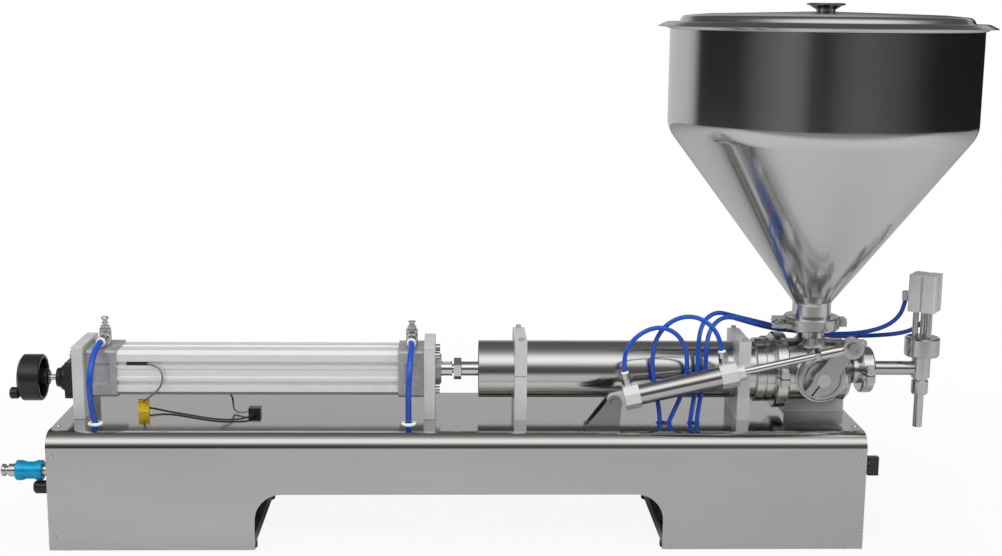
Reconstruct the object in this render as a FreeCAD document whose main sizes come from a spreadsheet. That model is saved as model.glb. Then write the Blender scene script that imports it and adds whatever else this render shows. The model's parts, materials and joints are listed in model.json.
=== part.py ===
import FreeCAD, Part
import math
import os
import Sketcher

# Piston paste filling machine, in millimetres, +Z up.
# X runs from the handwheel to the nozzle, and the operator stands on the -Y side.
# Pieces are drawn from the middle of the base's footprint, and every node is then shifted along X
# so that the origin lies under the middle of the whole machine.

doc = FreeCAD.newDocument("PasteFiller")
sheet = doc.addObject("Spreadsheet::Sheet", "Sizes")
sheet_rows = []
nodes = []


class Size:
    """A number together with the sheet formula that gives it."""

    def __init__(self, value, text):
        self.value = float(value)
        self.text = text

    def __add__(self, other):
        other = as_size(other)
        return Size(self.value + other.value, f"({self.text} + {other.text})")

    def __sub__(self, other):
        other = as_size(other)
        return Size(self.value - other.value, f"({self.text} - {other.text})")

    def __mul__(self, other):
        other = as_size(other)
        return Size(self.value * other.value, f"({self.text} * {other.text})")

    def __truediv__(self, other):
        other = as_size(other)
        return Size(self.value / other.value, f"({self.text} / {other.text})")

    def __neg__(self):
        return Size(-self.value, f"(0 - {self.text})")

    def __radd__(self, other):
        return as_size(other) + self

    def __rsub__(self, other):
        return as_size(other) - self

    def __rmul__(self, other):
        return as_size(other) * self


def as_size(number):
    return number if isinstance(number, Size) else Size(number, f"({number:.6f})")


def root(size):
    return Size(math.sqrt(size.value), f"sqrt({size.text})")


def cosine(degrees):
    return Size(math.cos(math.radians(degrees.value)), f"cos({degrees.text} * 1 deg)")


def sine(degrees):
    return Size(math.sin(math.radians(degrees.value)), f"sin({degrees.text} * 1 deg)")


def cell(name, content, value):
    sheet_rows.append(name)
    row = len(sheet_rows)
    sheet.set(f"A{row}", name)
    sheet.set(f"B{row}", content)
    sheet.setAlias(f"B{row}", name)
    return Size(value, f"Sizes.{name}")


def driving(name, value):
    return cell(name, f"{value}", value)


def derived(name, size):
    return cell(name, "=" + size.text.replace("Sizes.", ""), size.value)


# Base
base_length = driving("base_length", 1050)
base_width = driving("base_width", 230)
base_top = driving("base_top", 155.5)
sheet_wall = driving("sheet_wall", 3)
base_bend_radius = driving("base_bend_radius", 20)
arch_length = driving("arch_length", 526)
arch_top = driving("arch_top", 76)
arch_corner_radius = driving("arch_corner_radius", 35)
skirt_clearance = driving("skirt_clearance", 2)
panel_wall = driving("panel_wall", 2)
panel_flange = driving("panel_flange", 20)
panel_inset = driving("panel_inset", 1)
tray_height = driving("tray_height", 8)
foot_radius = driving("foot_radius", 14)
foot_edge_gap = driving("foot_edge_gap", 13)
panel_screw_radius = driving("panel_screw_radius", 2)
screw_clearance = driving("screw_clearance", 0.25)
screw_edge_gap = driving("screw_edge_gap", 7.5)
skirt_screw_low = driving("skirt_screw_low", 21)
skirt_screw_high = driving("skirt_screw_high", 126)
top_screw_side = driving("top_screw_side", 75)
seat_gap = driving("seat_gap", 0.3)

# Air cylinder and its plates
main_axis = driving("main_axis", 214.5)
plate_half_width = driving("plate_half_width", 44)
plate_thickness = driving("plate_thickness", 15)
plate_top = driving("plate_top", 253)
rear_plate_x = driving("rear_plate_x", -505.6)
front_plate_x = driving("front_plate_x", -47.8)
cover_size = driving("cover_size", 65)
cover_corner = driving("cover_corner", 7)
rear_cover_length = driving("rear_cover_length", 40)
front_cover_length = driving("front_cover_length", 34)
bore_radius = driving("bore_radius", 25)
tube_size = driving("tube_size", 60)
tie_spacing = driving("tie_spacing", 46.5)
pilot_radius = driving("pilot_radius", 20)
pilot_length = driving("pilot_length", 23)
rod_radius = driving("rod_radius", 10)
running_clearance = driving("running_clearance", 0.05)
seal_clearance = driving("seal_clearance", 0.08)
air_piston_length = driving("air_piston_length", 30)
main_stroke = driving("main_stroke", 250)

# Stroke adjuster
adjuster_height = driving("adjuster_height", 201.5)
adjuster_block_size = driving("adjuster_block_size", 48)
adjuster_block_length = driving("adjuster_block_length", 15.5)
adjuster_flange_radius = driving("adjuster_flange_radius", 17.5)
adjuster_flange_length = driving("adjuster_flange_length", 8.5)
screw_radius = driving("screw_radius", 4)
sleeve_radius = driving("sleeve_radius", 8)
sleeve_reach = driving("sleeve_reach", 14)
sleeve_length = driving("sleeve_length", 62)
wheel_radius = driving("wheel_radius", 31)
wheel_depth = driving("wheel_depth", 32)
wheel_gap = driving("wheel_gap", 21.4)
grip_radius = driving("grip_radius", 7.8)
grip_length = driving("grip_length", 11.5)
grip_orbit = driving("grip_orbit", 22.5)

# Material cylinder and push rod
material_radius = driving("material_radius", 38.25)
material_wall = driving("material_wall", 2)
material_left = driving("material_left", 24.9)
collar_left = driving("collar_left", 393.7)
collar_radius = driving("collar_radius", 43)
body_joint_x = driving("body_joint_x", 427.8)
clamp_one_x = driving("clamp_one_x", 72)
clamp_two_x = driving("clamp_two_x", 367.5)
tube_clamp_thickness = driving("tube_clamp_thickness", 16)
tube_clamp_top = driving("tube_clamp_top", 262)
tube_clamp_half_width = driving("tube_clamp_half_width", 45)
tube_clamp_slit = driving("tube_clamp_slit", 1)
material_piston_length = driving("material_piston_length", 40)
material_piston_x = driving("material_piston_x", 140)

# Valve
valve_x = driving("valve_x", 477)
hopper_x = driving("hopper_x", 472)
valve_body_radius = driving("valve_body_radius", 42.5)
valve_body_right = driving("valve_body_right", 521)
core_radius = driving("core_radius", 28)
passage_radius = driving("passage_radius", 16)
boss_radius = driving("boss_radius", 33)
boss_front = driving("boss_front", 48)
cover_radius = driving("cover_radius", 31)
cover_thickness = driving("cover_thickness", 7)
lever_thickness = driving("lever_thickness", 9)
lever_arm = driving("lever_arm", 57)
lever_rest_angle = driving("lever_rest_angle", 54)
linkage_plane = driving("linkage_plane", 72)
pivot_x = driving("pivot_x", 200.5)
pivot_height = driving("pivot_height", 190)
eye_radius = driving("eye_radius", 14)
eye_bolt_radius = driving("eye_bolt_radius", 5)
eye_length = driving("eye_length", 43)
barrel_radius = driving("barrel_radius", 13.4)
cap_flats = driving("cap_flats", 31)
valve_rod_radius = driving("valve_rod_radius", 5)

# Sanitary joints
ferrule_thickness = driving("ferrule_thickness", 3.5)
gasket_thickness = driving("gasket_thickness", 1)
body_ferrule_radius = driving("body_ferrule_radius", 45.5)
hopper_ferrule_radius = driving("hopper_ferrule_radius", 32)
outlet_ferrule_radius = driving("outlet_ferrule_radius", 25.25)
pipe_clamp_width = driving("pipe_clamp_width", 17)
pipe_clamp_wall = driving("pipe_clamp_wall", 5.5)
body_wing_offset = driving("body_wing_offset", 9)
small_wing_offset = driving("small_wing_offset", 6.8)
hopper_wing_offset = driving("hopper_wing_offset", 7.8)
hopper_joint_z = driving("hopper_joint_z", 280.5)
outlet_joint_x = driving("outlet_joint_x", 547)
hopper_neck_radius = driving("hopper_neck_radius", 25.5)
valve_neck_radius = driving("valve_neck_radius", 18.5)

# Hopper
hopper_wall = driving("hopper_wall", 1.5)
cone_bottom_z = driving("cone_bottom_z", 308)
cone_top_z = driving("cone_top_z", 538)
hopper_top_z = driving("hopper_top_z", 674)
hopper_radius = driving("hopper_radius", 200)
hopper_bead = driving("hopper_bead", 3)
lid_radius = driving("lid_radius", 216)
lid_wall = driving("lid_wall", 1.5)
knob_radius = driving("knob_radius", 25)

# Nozzle
nozzle_x = driving("nozzle_x", 625)
outlet_height = driving("outlet_height", 216.5)
outlet_tube_radius = driving("outlet_tube_radius", 9.5)
nozzle_body_radius = driving("nozzle_body_radius", 12.4)
nozzle_bore_radius = driving("nozzle_bore_radius", 7)
plunger_radius = driving("plunger_radius", 4)
nozzle_pipe_radius = driving("nozzle_pipe_radius", 6.35)
nozzle_pipe_bottom = driving("nozzle_pipe_bottom", 135)
nozzle_cylinder_size = driving("nozzle_cylinder_size", 36)
nozzle_cylinder_bottom = driving("nozzle_cylinder_bottom", 296)
nozzle_cylinder_top = driving("nozzle_cylinder_top", 346)
nozzle_turn = driving("nozzle_turn", -33)
nozzle_travel = driving("nozzle_travel", 15)

# Panel fittings
inlet_side = driving("inlet_side", -60)
inlet_height = driving("inlet_height", 91.8)
inlet_left = driving("inlet_left", -597)
silencer_height = driving("silencer_height", 69)
selector_side = driving("selector_side", -80)
selector_height = driving("selector_height", 104)

# Hoses and leads
cylinder_hose_radius = driving("cylinder_hose_radius", 4)
hose_radius = driving("hose_radius", 3)
lead_radius = driving("lead_radius", 1.25)

# Places worked out from the sizes above
base_centre_x = derived("base_centre_x", (inlet_left + hopper_x + lid_radius) / -2)
rear_cover_x = derived("rear_cover_x", rear_plate_x + plate_thickness)
tube_left = derived("tube_left", rear_cover_x + rear_cover_length)
tube_right = derived("tube_right", front_plate_x - front_cover_length)
air_piston_x = derived("air_piston_x", tube_left + sleeve_reach + seat_gap)
eye_x = derived("eye_x", valve_x + lever_arm * cosine(lever_rest_angle))
eye_z = derived("eye_z", main_axis + lever_arm * sine(lever_rest_angle))
link_run = derived("link_run", eye_x - pivot_x)
link_rise = derived("link_rise", eye_z - pivot_height)
link_length = derived("link_length", root(link_run * link_run + link_rise * link_rise))
link_tilt = Size(math.degrees(math.atan2(link_rise.value, link_run.value)),
                 f"atan2({link_rise.text}; {link_run.text})")
core_front = derived("core_front", boss_front + cover_thickness)

AXIS_TURNS = {
    "z": FreeCAD.Rotation(),
    "-z": FreeCAD.Rotation(FreeCAD.Vector(1, 0, 0), 180),
    "x": FreeCAD.Rotation(FreeCAD.Vector(0, 1, 0), 90),
    "-x": FreeCAD.Rotation(FreeCAD.Vector(0, 1, 0), -90),
    "y": FreeCAD.Rotation(FreeCAD.Vector(1, 0, 0), -90),
    "-y": FreeCAD.Rotation(FreeCAD.Vector(1, 0, 0), 90),
}


def bind(thing, name, size):
    size = as_size(size)
    if "Sizes." in size.text:
        thing.setExpression(name, size.text)
    else:
        setattr(thing, name, size.value)


def put(thing, at=(0, 0, 0), axis="z"):
    """Places a piece, with its own Z axis turned to the named direction."""
    places = [as_size(coordinate) for coordinate in at]
    thing.Placement = FreeCAD.Placement(FreeCAD.Vector(*[place.value for place in places]), AXIS_TURNS[axis])
    for letter, place in zip("xyz", places):
        if "Sizes." in place.text:
            thing.setExpression(f"Placement.Base.{letter}", place.text)
    return thing


def node(name, thing, at=(0, 0, 0), axis="z"):
    """Names a finished piece and shifts it from the base's middle to the machine's origin."""
    thing.Label = name
    put(thing, (base_centre_x + at[0], at[1], at[2]), axis)
    nodes.append(thing)
    return thing


def box(name, low, high):
    """A box between two opposite corners."""
    solid = doc.addObject("Part::Box", name)
    for side, start, end in zip(("Length", "Width", "Height"), low, high):
        bind(solid, side, as_size(end) - start)
    return put(solid, low)


def cylinder(name, radius, start, length, axis="z"):
    """A cylinder from its starting point along an axis."""
    solid = doc.addObject("Part::Cylinder", name)
    bind(solid, "Radius", radius)
    bind(solid, "Height", length)
    return put(solid, start, axis)


def cone(name, radius, end_radius, start, length, axis="z"):
    solid = doc.addObject("Part::Cone", name)
    bind(solid, "Radius1", radius)
    bind(solid, "Radius2", end_radius)
    bind(solid, "Height", length)
    return put(solid, start, axis)


def prism(name, sides, radius, start, length, axis="z"):
    """A regular prism given by the radius of its corners."""
    solid = doc.addObject("Part::Prism", name)
    solid.Polygon = sides
    bind(solid, "Circumradius", radius)
    bind(solid, "Height", length)
    return put(solid, start, axis)


def fuse(name, *pieces):
    whole = doc.addObject("Part::MultiFuse", name)
    whole.Shapes = list(pieces)
    whole.Refine = True
    return whole


def cut(name, base, *tools):
    result = doc.addObject("Part::Cut", name)
    result.Base = base
    result.Tool = tools[0] if len(tools) == 1 else fuse(name + "_tools", *tools)
    return result


def group(name, *pieces):
    """Several separate solids that share one node."""
    whole = doc.addObject("Part::Compound", name)
    whole.Links = list(pieces)
    return whole


def new_sketch(body, plane, name):
    sketch = body.newObject("Sketcher::SketchObject", name)
    support = [feature for feature in body.Origin.OriginFeatures if feature.Role == plane][0]
    sketch.AttachmentSupport = (support, [""])
    sketch.MapMode = "FlatFace"
    return sketch


def constrain(sketch, rows):
    """Adds dimensions (kind, geometry, end, size) from the sketch's origin and ties them to the sheet."""
    constraints = []
    for kind, geometry, end, size in rows:
        if kind == "Radius":
            constraints.append(Sketcher.Constraint(kind, geometry, size.value))
        else:
            constraints.append(Sketcher.Constraint(kind, -1, 1, geometry, end, size.value))
    for index, row in zip(sketch.addConstraint(constraints), rows):
        if "Sizes." in row[3].text:
            sketch.setExpression(f"Constraints[{index}]", row[3].text)


def corner_stops(points, index):
    """The tangent points and the centre of a rounded square corner, or the corner itself."""
    here = points[index]
    across, up = as_size(here[0]), as_size(here[1])
    if len(here) == 2:
        return [(across, up)], None
    radius = as_size(here[2])
    steps = []
    for other in (points[index - 1], points[(index + 1) % len(points)]):
        gap_across = as_size(other[0]).value - across.value
        gap_up = as_size(other[1]).value - up.value
        if abs(gap_across) > abs(gap_up):
            steps.append((math.copysign(1, gap_across), 0))
        else:
            steps.append((0, math.copysign(1, gap_up)))
    stops = [(across + radius * step[0], up + radius * step[1]) for step in steps]
    centre = (across + radius * (steps[0][0] + steps[1][0]), up + radius * (steps[0][1] + steps[1][1]))
    return stops, (centre, radius)


def draw_outline(sketch, points):
    """A closed outline. A point with a third number is a square corner rounded by that radius."""
    stops = []
    for index in range(len(points)):
        tangents, arc = corner_stops(points, index)
        stops.append((tangents[0], arc))
        if arc:
            stops.append((tangents[1], None))
    first = sketch.GeometryCount
    geometry = []
    ends = []
    for index, (stop, arc) in enumerate(stops):
        start = FreeCAD.Vector(stop[0].value, stop[1].value, 0)
        following = stops[(index + 1) % len(stops)][0]
        finish = FreeCAD.Vector(following[0].value, following[1].value, 0)
        if arc is None:
            geometry.append(Part.LineSegment(start, finish))
            ends.append((1, 2))
            continue
        middle = FreeCAD.Vector(arc[0][0].value, arc[0][1].value, 0)
        circle = Part.Circle(middle, FreeCAD.Vector(0, 0, 1), arc[1].value)
        angles = [math.atan2(point.y - middle.y, point.x - middle.x) for point in (start, finish)]
        turns_left = math.sin(angles[1] - angles[0]) > 0
        if not turns_left:
            angles.reverse()
        geometry.append(Part.ArcOfCircle(circle, angles[0], angles[1]))
        ends.append((1, 2) if turns_left else (2, 1))
    sketch.addGeometry(geometry, False)
    rows = []
    joints = []
    for index, (stop, arc) in enumerate(stops):
        following = (index + 1) % len(stops)
        rows.append(("DistanceX", first + index, ends[index][0], stop[0]))
        rows.append(("DistanceY", first + index, ends[index][0], stop[1]))
        if arc:
            rows.append(("Radius", first + index, 0, arc[1]))
        joints.append(Sketcher.Constraint("Coincident", first + index, ends[index][1],
                                          first + following, ends[following][0]))
    constrain(sketch, rows)
    sketch.addConstraint(joints)


def draw_circles(sketch, circles):
    for across, up, radius in circles:
        across, up, radius = as_size(across), as_size(up), as_size(radius)
        centre = FreeCAD.Vector(across.value, up.value, 0)
        geometry = sketch.addGeometry(Part.Circle(centre, FreeCAD.Vector(0, 0, 1), radius.value), False)
        constrain(sketch, [("DistanceX", geometry, 3, across), ("DistanceY", geometry, 3, up),
                           ("Radius", geometry, 0, radius)])


def new_body(name):
    return doc.addObject("PartDesign::Body", name)


def extrude(body, plane, length, outline=(), circles=(), kind="PartDesign::Pad", side="Symmetric", back=False):
    """A pad, or a pocket, of an outline with round holes drawn on one of the body's planes."""
    count = len(body.Group)
    sketch = new_sketch(body, plane, f"{body.Name}_sketch_{count}")
    if outline:
        draw_outline(sketch, outline)
    draw_circles(sketch, circles)
    feature = body.newObject(kind, f"{body.Name}_feature_{count}")
    feature.Profile = sketch
    feature.SideType = side
    feature.Reversed = back
    bind(feature, "Length", length)
    return feature


def turned(name, points):
    """A body turned about its own Z axis from corners given as (radius, height)."""
    body = new_body(name)
    sketch = new_sketch(body, "XZ_Plane", name + "_sketch")
    draw_outline(sketch, points)
    feature = body.newObject("PartDesign::Revolution", name + "_turn")
    feature.Profile = sketch
    feature.ReferenceAxis = (sketch, ["V_Axis"])
    feature.Angle = 360
    return body


def ring_points(inner, outer, low, high):
    return [(inner, low), (outer, low), (outer, high), (inner, high)]


def tube_along(name, points, radius):
    """A hose or lead: straight runs joined by arcs as large as their runs allow."""
    corners = [FreeCAD.Vector(*point) for point in points]
    edges = []
    bends = []
    start = corners[0]
    for before, corner, after in zip(corners, corners[1:], corners[2:]):
        towards = (before - corner).normalize()
        away = (after - corner).normalize()
        turn = math.pi - towards.getAngle(away)
        trim = 0.45 * min((before - corner).Length, (after - corner).Length)
        bends.append(trim / math.tan(turn / 2))
        first, last = corner + towards * trim, corner + away * trim
        bisector = (towards + away).normalize()
        centre = corner + bisector * (math.hypot(trim, bends[-1]))
        edges.append(Part.LineSegment(start, first).toShape())
        edges.append(Part.Arc(first, centre - bisector * bends[-1], last).toShape())
        start = last
    edges.append(Part.LineSegment(start, corners[-1]).toShape())
    path = Part.Wire(edges)
    section = Part.Wire(Part.Circle(corners[0], corners[1] - corners[0], radius.value).toShape())
    tube = path.makePipeShell([section], True, False)
    feature = doc.addObject("Part::Feature", name)
    feature.Shape = tube
    expected = math.pi * radius.value ** 2 * path.Length
    print(f"{name}: {path.Length:.0f} mm, volume ratio {tube.Volume / expected:.4f}, bends",
          " ".join(f"{bend:.0f}" for bend in bends))
    return feature


def make_base():
    """Bent channel with an arch in each skirt, two end panels, rubber feet and the panel screws."""
    half, wall = base_width / 2, sheet_wall
    body = new_body("base_channel_body")
    inner_radius = base_bend_radius - wall
    extrude(body, "YZ_Plane", base_length, outline=[
        (-half, skirt_clearance), (-half, base_top, base_bend_radius), (half, base_top, base_bend_radius),
        (half, skirt_clearance), (half - wall, skirt_clearance), (half - wall, base_top - wall, inner_radius),
        (wall - half, base_top - wall, inner_radius), (wall - half, skirt_clearance)])
    extrude(body, "XZ_Plane", base_width + 10, kind="PartDesign::Pocket", outline=[
        (arch_length / -2, 0), (arch_length / -2, arch_top, arch_corner_radius),
        (arch_length / 2, arch_top, arch_corner_radius), (arch_length / 2, 0)])
    screw_x = base_length / 2 - screw_edge_gap
    hole = panel_screw_radius + screw_clearance
    extrude(body, "XZ_Plane", base_width + 10, kind="PartDesign::Pocket",
            circles=[(screw_x * side, height, hole) for side in (-1, 1)
                     for height in (skirt_screw_low, skirt_screw_high)])
    top_holes = [(screw_x * side, top_screw_side * depth, hole) for side in (-1, 1) for depth in (-1, 1)]
    top_holes += [(x, y, radius) for x, y, radius in HOSE_HOLES]
    extrude(body, "XY_Plane", base_top * 2 + 10, kind="PartDesign::Pocket", circles=top_holes)
    node("base_channel", body)

    panel_half = half - wall
    panel_top = base_top - wall
    corner = inner_radius + 1
    outer = base_length / 2 - panel_inset
    arch_edge = arch_length / 2
    inset = panel_half - panel_wall
    panels = []
    for side, name in ((-1, "left_panel"), (1, "right_panel")):
        shell = new_body(name + "_shell")
        extrude(shell, "YZ_Plane", panel_flange, side="One side", outline=[
            (-panel_half, tray_height), (-panel_half, panel_top, corner),
            (panel_half, panel_top, corner), (panel_half, tray_height)])
        extrude(shell, "YZ_Plane", panel_flange - panel_wall, kind="PartDesign::Pocket", side="One side", back=True,
                outline=[(-inset, tray_height + panel_wall), (-inset, panel_top - panel_wall, corner - panel_wall),
                         (inset, panel_top - panel_wall, corner - panel_wall), (inset, tray_height + panel_wall)])
        put(shell, ((outer - panel_flange) * side, 0, 0))
        if side < 0:
            turn_about(shell, (0, 0, 1), 180)
        near = arch_edge if side > 0 else panel_flange - outer
        tray = box(name + "_tray", (near, -panel_half, tray_height),
                   (near + outer - panel_flange - arch_edge, panel_half, tray_height + panel_wall))
        lip_x = arch_edge if side > 0 else -arch_edge - panel_wall
        lip = box(name + "_lip", (lip_x, -panel_half, tray_height),
                  (lip_x + panel_wall, panel_half, tray_height + 14))
        holes = []
        for depth in (-1, 1):
            for height in (skirt_screw_low, skirt_screw_high):
                holes.append(cylinder(name + "_hole", hole, (screw_x * side, (panel_half + 1) * depth, height),
                                      panel_wall + 2, "-y" if depth > 0 else "y"))
            holes.append(cylinder(name + "_top_hole", hole,
                                  (screw_x * side, top_screw_side * depth, panel_top + 1), panel_wall + 2, "-z"))
        for y, z, radius in PANEL_HOLES[name]:
            holes.append(cylinder(name + "_port", radius, ((outer + 1) * side, y, z),
                                  panel_wall + 2, "x" if side < 0 else "-x"))
        panels.append(cut(name + "_cut", fuse(name + "_fuse", shell, tray, lip), *holes))
    node("end_panels", group("end_panel_group", *panels))

    pads = []
    foot_places = (arch_length / 2 + foot_edge_gap, base_length / 2 - foot_edge_gap - 10)
    foot_side = panel_half - foot_radius - 1
    for side in (-1, 1):
        for place in foot_places:
            for depth in (-1, 1):
                pads.append(cylinder("foot", foot_radius, (place * side, foot_side * depth, 0), tray_height))
    node("rubber_feet", group("feet", *pads))

    screws = []
    grip_length = sheet_wall + panel_wall + 3
    for side in (-1, 1):
        for depth in (-1, 1):
            axis = "y" if depth < 0 else "-y"
            out = "-y" if depth < 0 else "y"
            for height in (skirt_screw_low, skirt_screw_high):
                face = (screw_x * side, half * depth, height)
                screws.append(fuse("panel_screw", cylinder("shank", panel_screw_radius, face, grip_length, axis),
                                   cone("head", panel_screw_radius * 2.1, panel_screw_radius * 1.3, face, 2.2, out)))
            face = (screw_x * side, top_screw_side * depth, base_top)
            screws.append(fuse("panel_screw", cylinder("shank", panel_screw_radius, face, grip_length, "-z"),
                               cone("head", panel_screw_radius * 2.1, panel_screw_radius * 1.3, face, 2.2, "z")))
    node("panel_screws", group("panel_screw_group", *screws))


def square(size, corner):
    half = size / 2
    return [(-half, -half, corner), (half, -half, corner), (half, half, corner), (-half, half, corner)]


def make_plates():
    """Two upright plates that carry the air cylinder, bolted to the base and to the covers."""
    plates = []
    for index, (left, opening, height) in enumerate((
            (rear_plate_x, sleeve_radius + running_clearance, adjuster_height),
            (front_plate_x, pilot_radius + running_clearance, main_axis))):
        slab = box(f"plate_{index}", (left, -plate_half_width, base_top),
                   (left + plate_thickness, plate_half_width, plate_top))
        bore = cylinder(f"plate_bore_{index}", opening, (left - 1, 0, height), plate_thickness + 2, "x")
        plates.append(cut(f"plate_piece_{index}", slab, bore))
    node("mount_plates", group("plates", *plates))


def tie_places():
    half = tie_spacing / 2
    return [(half * side, main_axis + half * rise) for side in (-1, 1) for rise in (-1, 1)]


def cover_body(name, length):
    """A square cast cover with a waist on each side, drawn from its own left face."""
    body = new_body(name)
    extrude(body, "YZ_Plane", length, outline=square(cover_size, cover_corner), side="One side")
    half = cover_size / 2
    waist, flange = 4, 9
    for side in (-1, 1):
        edge = half * side
        deep = (half - waist) * side
        extrude(body, "XY_Plane", cover_size * 0.42, kind="PartDesign::Pocket", outline=[
            (flange, edge + side), (flange, deep), (length - flange, deep), (length - flange, edge + side)])
    return body


def make_air_cylinder():
    """Covers, ribbed tube, rod with its piston, and the socket screws that hold the plates."""
    rear = put(cover_body("rear_cover_body", rear_cover_length), (rear_cover_x, 0, main_axis))
    guide = cylinder("sleeve_guide", sleeve_radius + running_clearance,
                     (rear_cover_x - 1, 0, adjuster_height), rear_cover_length + 2, "x")
    node("rear_cylinder_cover", cut("rear_cover_cut", rear, guide))

    front = put(cover_body("front_cover_body", front_cover_length), (tube_right, 0, main_axis))
    pilot = cylinder("pilot", pilot_radius, (front_plate_x - 2, 0, main_axis), pilot_length + 2, "x")
    rod_bore = cylinder("rod_bore", rod_radius + running_clearance, (tube_right - 1, 0, main_axis),
                        front_cover_length + pilot_length + 4, "x")
    node("front_cylinder_cover", cut("front_cover_cut", fuse("front_cover_fuse", front, pilot), rod_bore))

    tube = new_body("cylinder_tube_body")
    length = tube_right - tube_left
    half = tube_size / 2
    slot, slot_depth, slot_place, rib_depth = 2.6, 5, 13, 1.6
    side_points = [
        (half, -half + 5), (half, -slot_place - slot), (half - slot_depth, -slot_place - slot),
        (half - slot_depth, -slot_place + slot), (half, -slot_place + slot), (half, -6),
        (half - rib_depth, -4.5), (half - rib_depth, 4.5), (half, 6), (half, slot_place - slot),
        (half - slot_depth, slot_place - slot), (half - slot_depth, slot_place + slot),
        (half, slot_place + slot), (half, half - 5)]
    outline = []
    for quarter in range(4):
        for across, up in side_points:
            across, up = as_size(across), as_size(up)
            for _ in range(quarter):
                across, up = -up, across
            outline.append((across, up))
    extrude(tube, "YZ_Plane", length, outline=outline, circles=[(0, 0, bore_radius)], side="One side")
    node("cylinder_tube", tube, (tube_left, 0, main_axis))

    rod_left = air_piston_x + air_piston_length
    rod_tip = rod_left + ROD_REACH
    flats_length = 13
    rod = turned("piston_rod_turned", [
        (0, 0), (bore_radius - seal_clearance, 0), (bore_radius - seal_clearance, 9),
        (bore_radius - 3, 9), (bore_radius - 3, 21), (bore_radius - seal_clearance, 21),
        (bore_radius - seal_clearance, air_piston_length), (rod_radius, air_piston_length),
        (rod_radius, air_piston_length + ROD_REACH), (rod_radius - 4, air_piston_length + ROD_REACH + 1),
        (rod_radius - 4, air_piston_length + ROD_REACH + 17), (0, air_piston_length + ROD_REACH + 17)])
    put(rod, (air_piston_x, 0, main_axis), "x")
    flats = [box("flat", (rod_tip - flats_length, -12, main_axis + side * 8.5 - (0 if side > 0 else 4)),
                 (rod_tip - 1.5, 12, main_axis + side * 8.5 + (4 if side > 0 else 0))) for side in (-1, 1)]
    node("piston_rod", cut("piston_rod_cut", rod, *flats))

    screws = []
    # The adjuster block covers the rear plate's two lower screws, which are countersunk
    for left, out in ((rear_plate_x, "-x"), (front_plate_x + plate_thickness, "x")):
        for y, z in tie_places():
            if out == "-x" and z.value < main_axis.value:
                continue
            head = cylinder("socket_head", 5, (left, y, z), 6, out)
            away = -3 if out == "-x" else 3
            socket = prism("socket", 6, 2.9, (left + away, y, z), 4, out)
            screws.append(cut("socket_screw", head, socket))
    for left in (clamp_one_x, clamp_two_x):
        for side in (-1, 1):
            spot = (left + tube_clamp_thickness / 2, (tube_clamp_half_width - 3.4) * side, tube_clamp_top)
            head = cylinder("clamp_head", 3.4, spot, 4, "z")
            shank = cylinder("clamp_shank", 1.9, spot, tube_clamp_top - main_axis + 14, "-z")
            screws.append(fuse("clamp_screw", head, shank))
    node("socket_screws", group("socket_screw_group", *screws))


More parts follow.
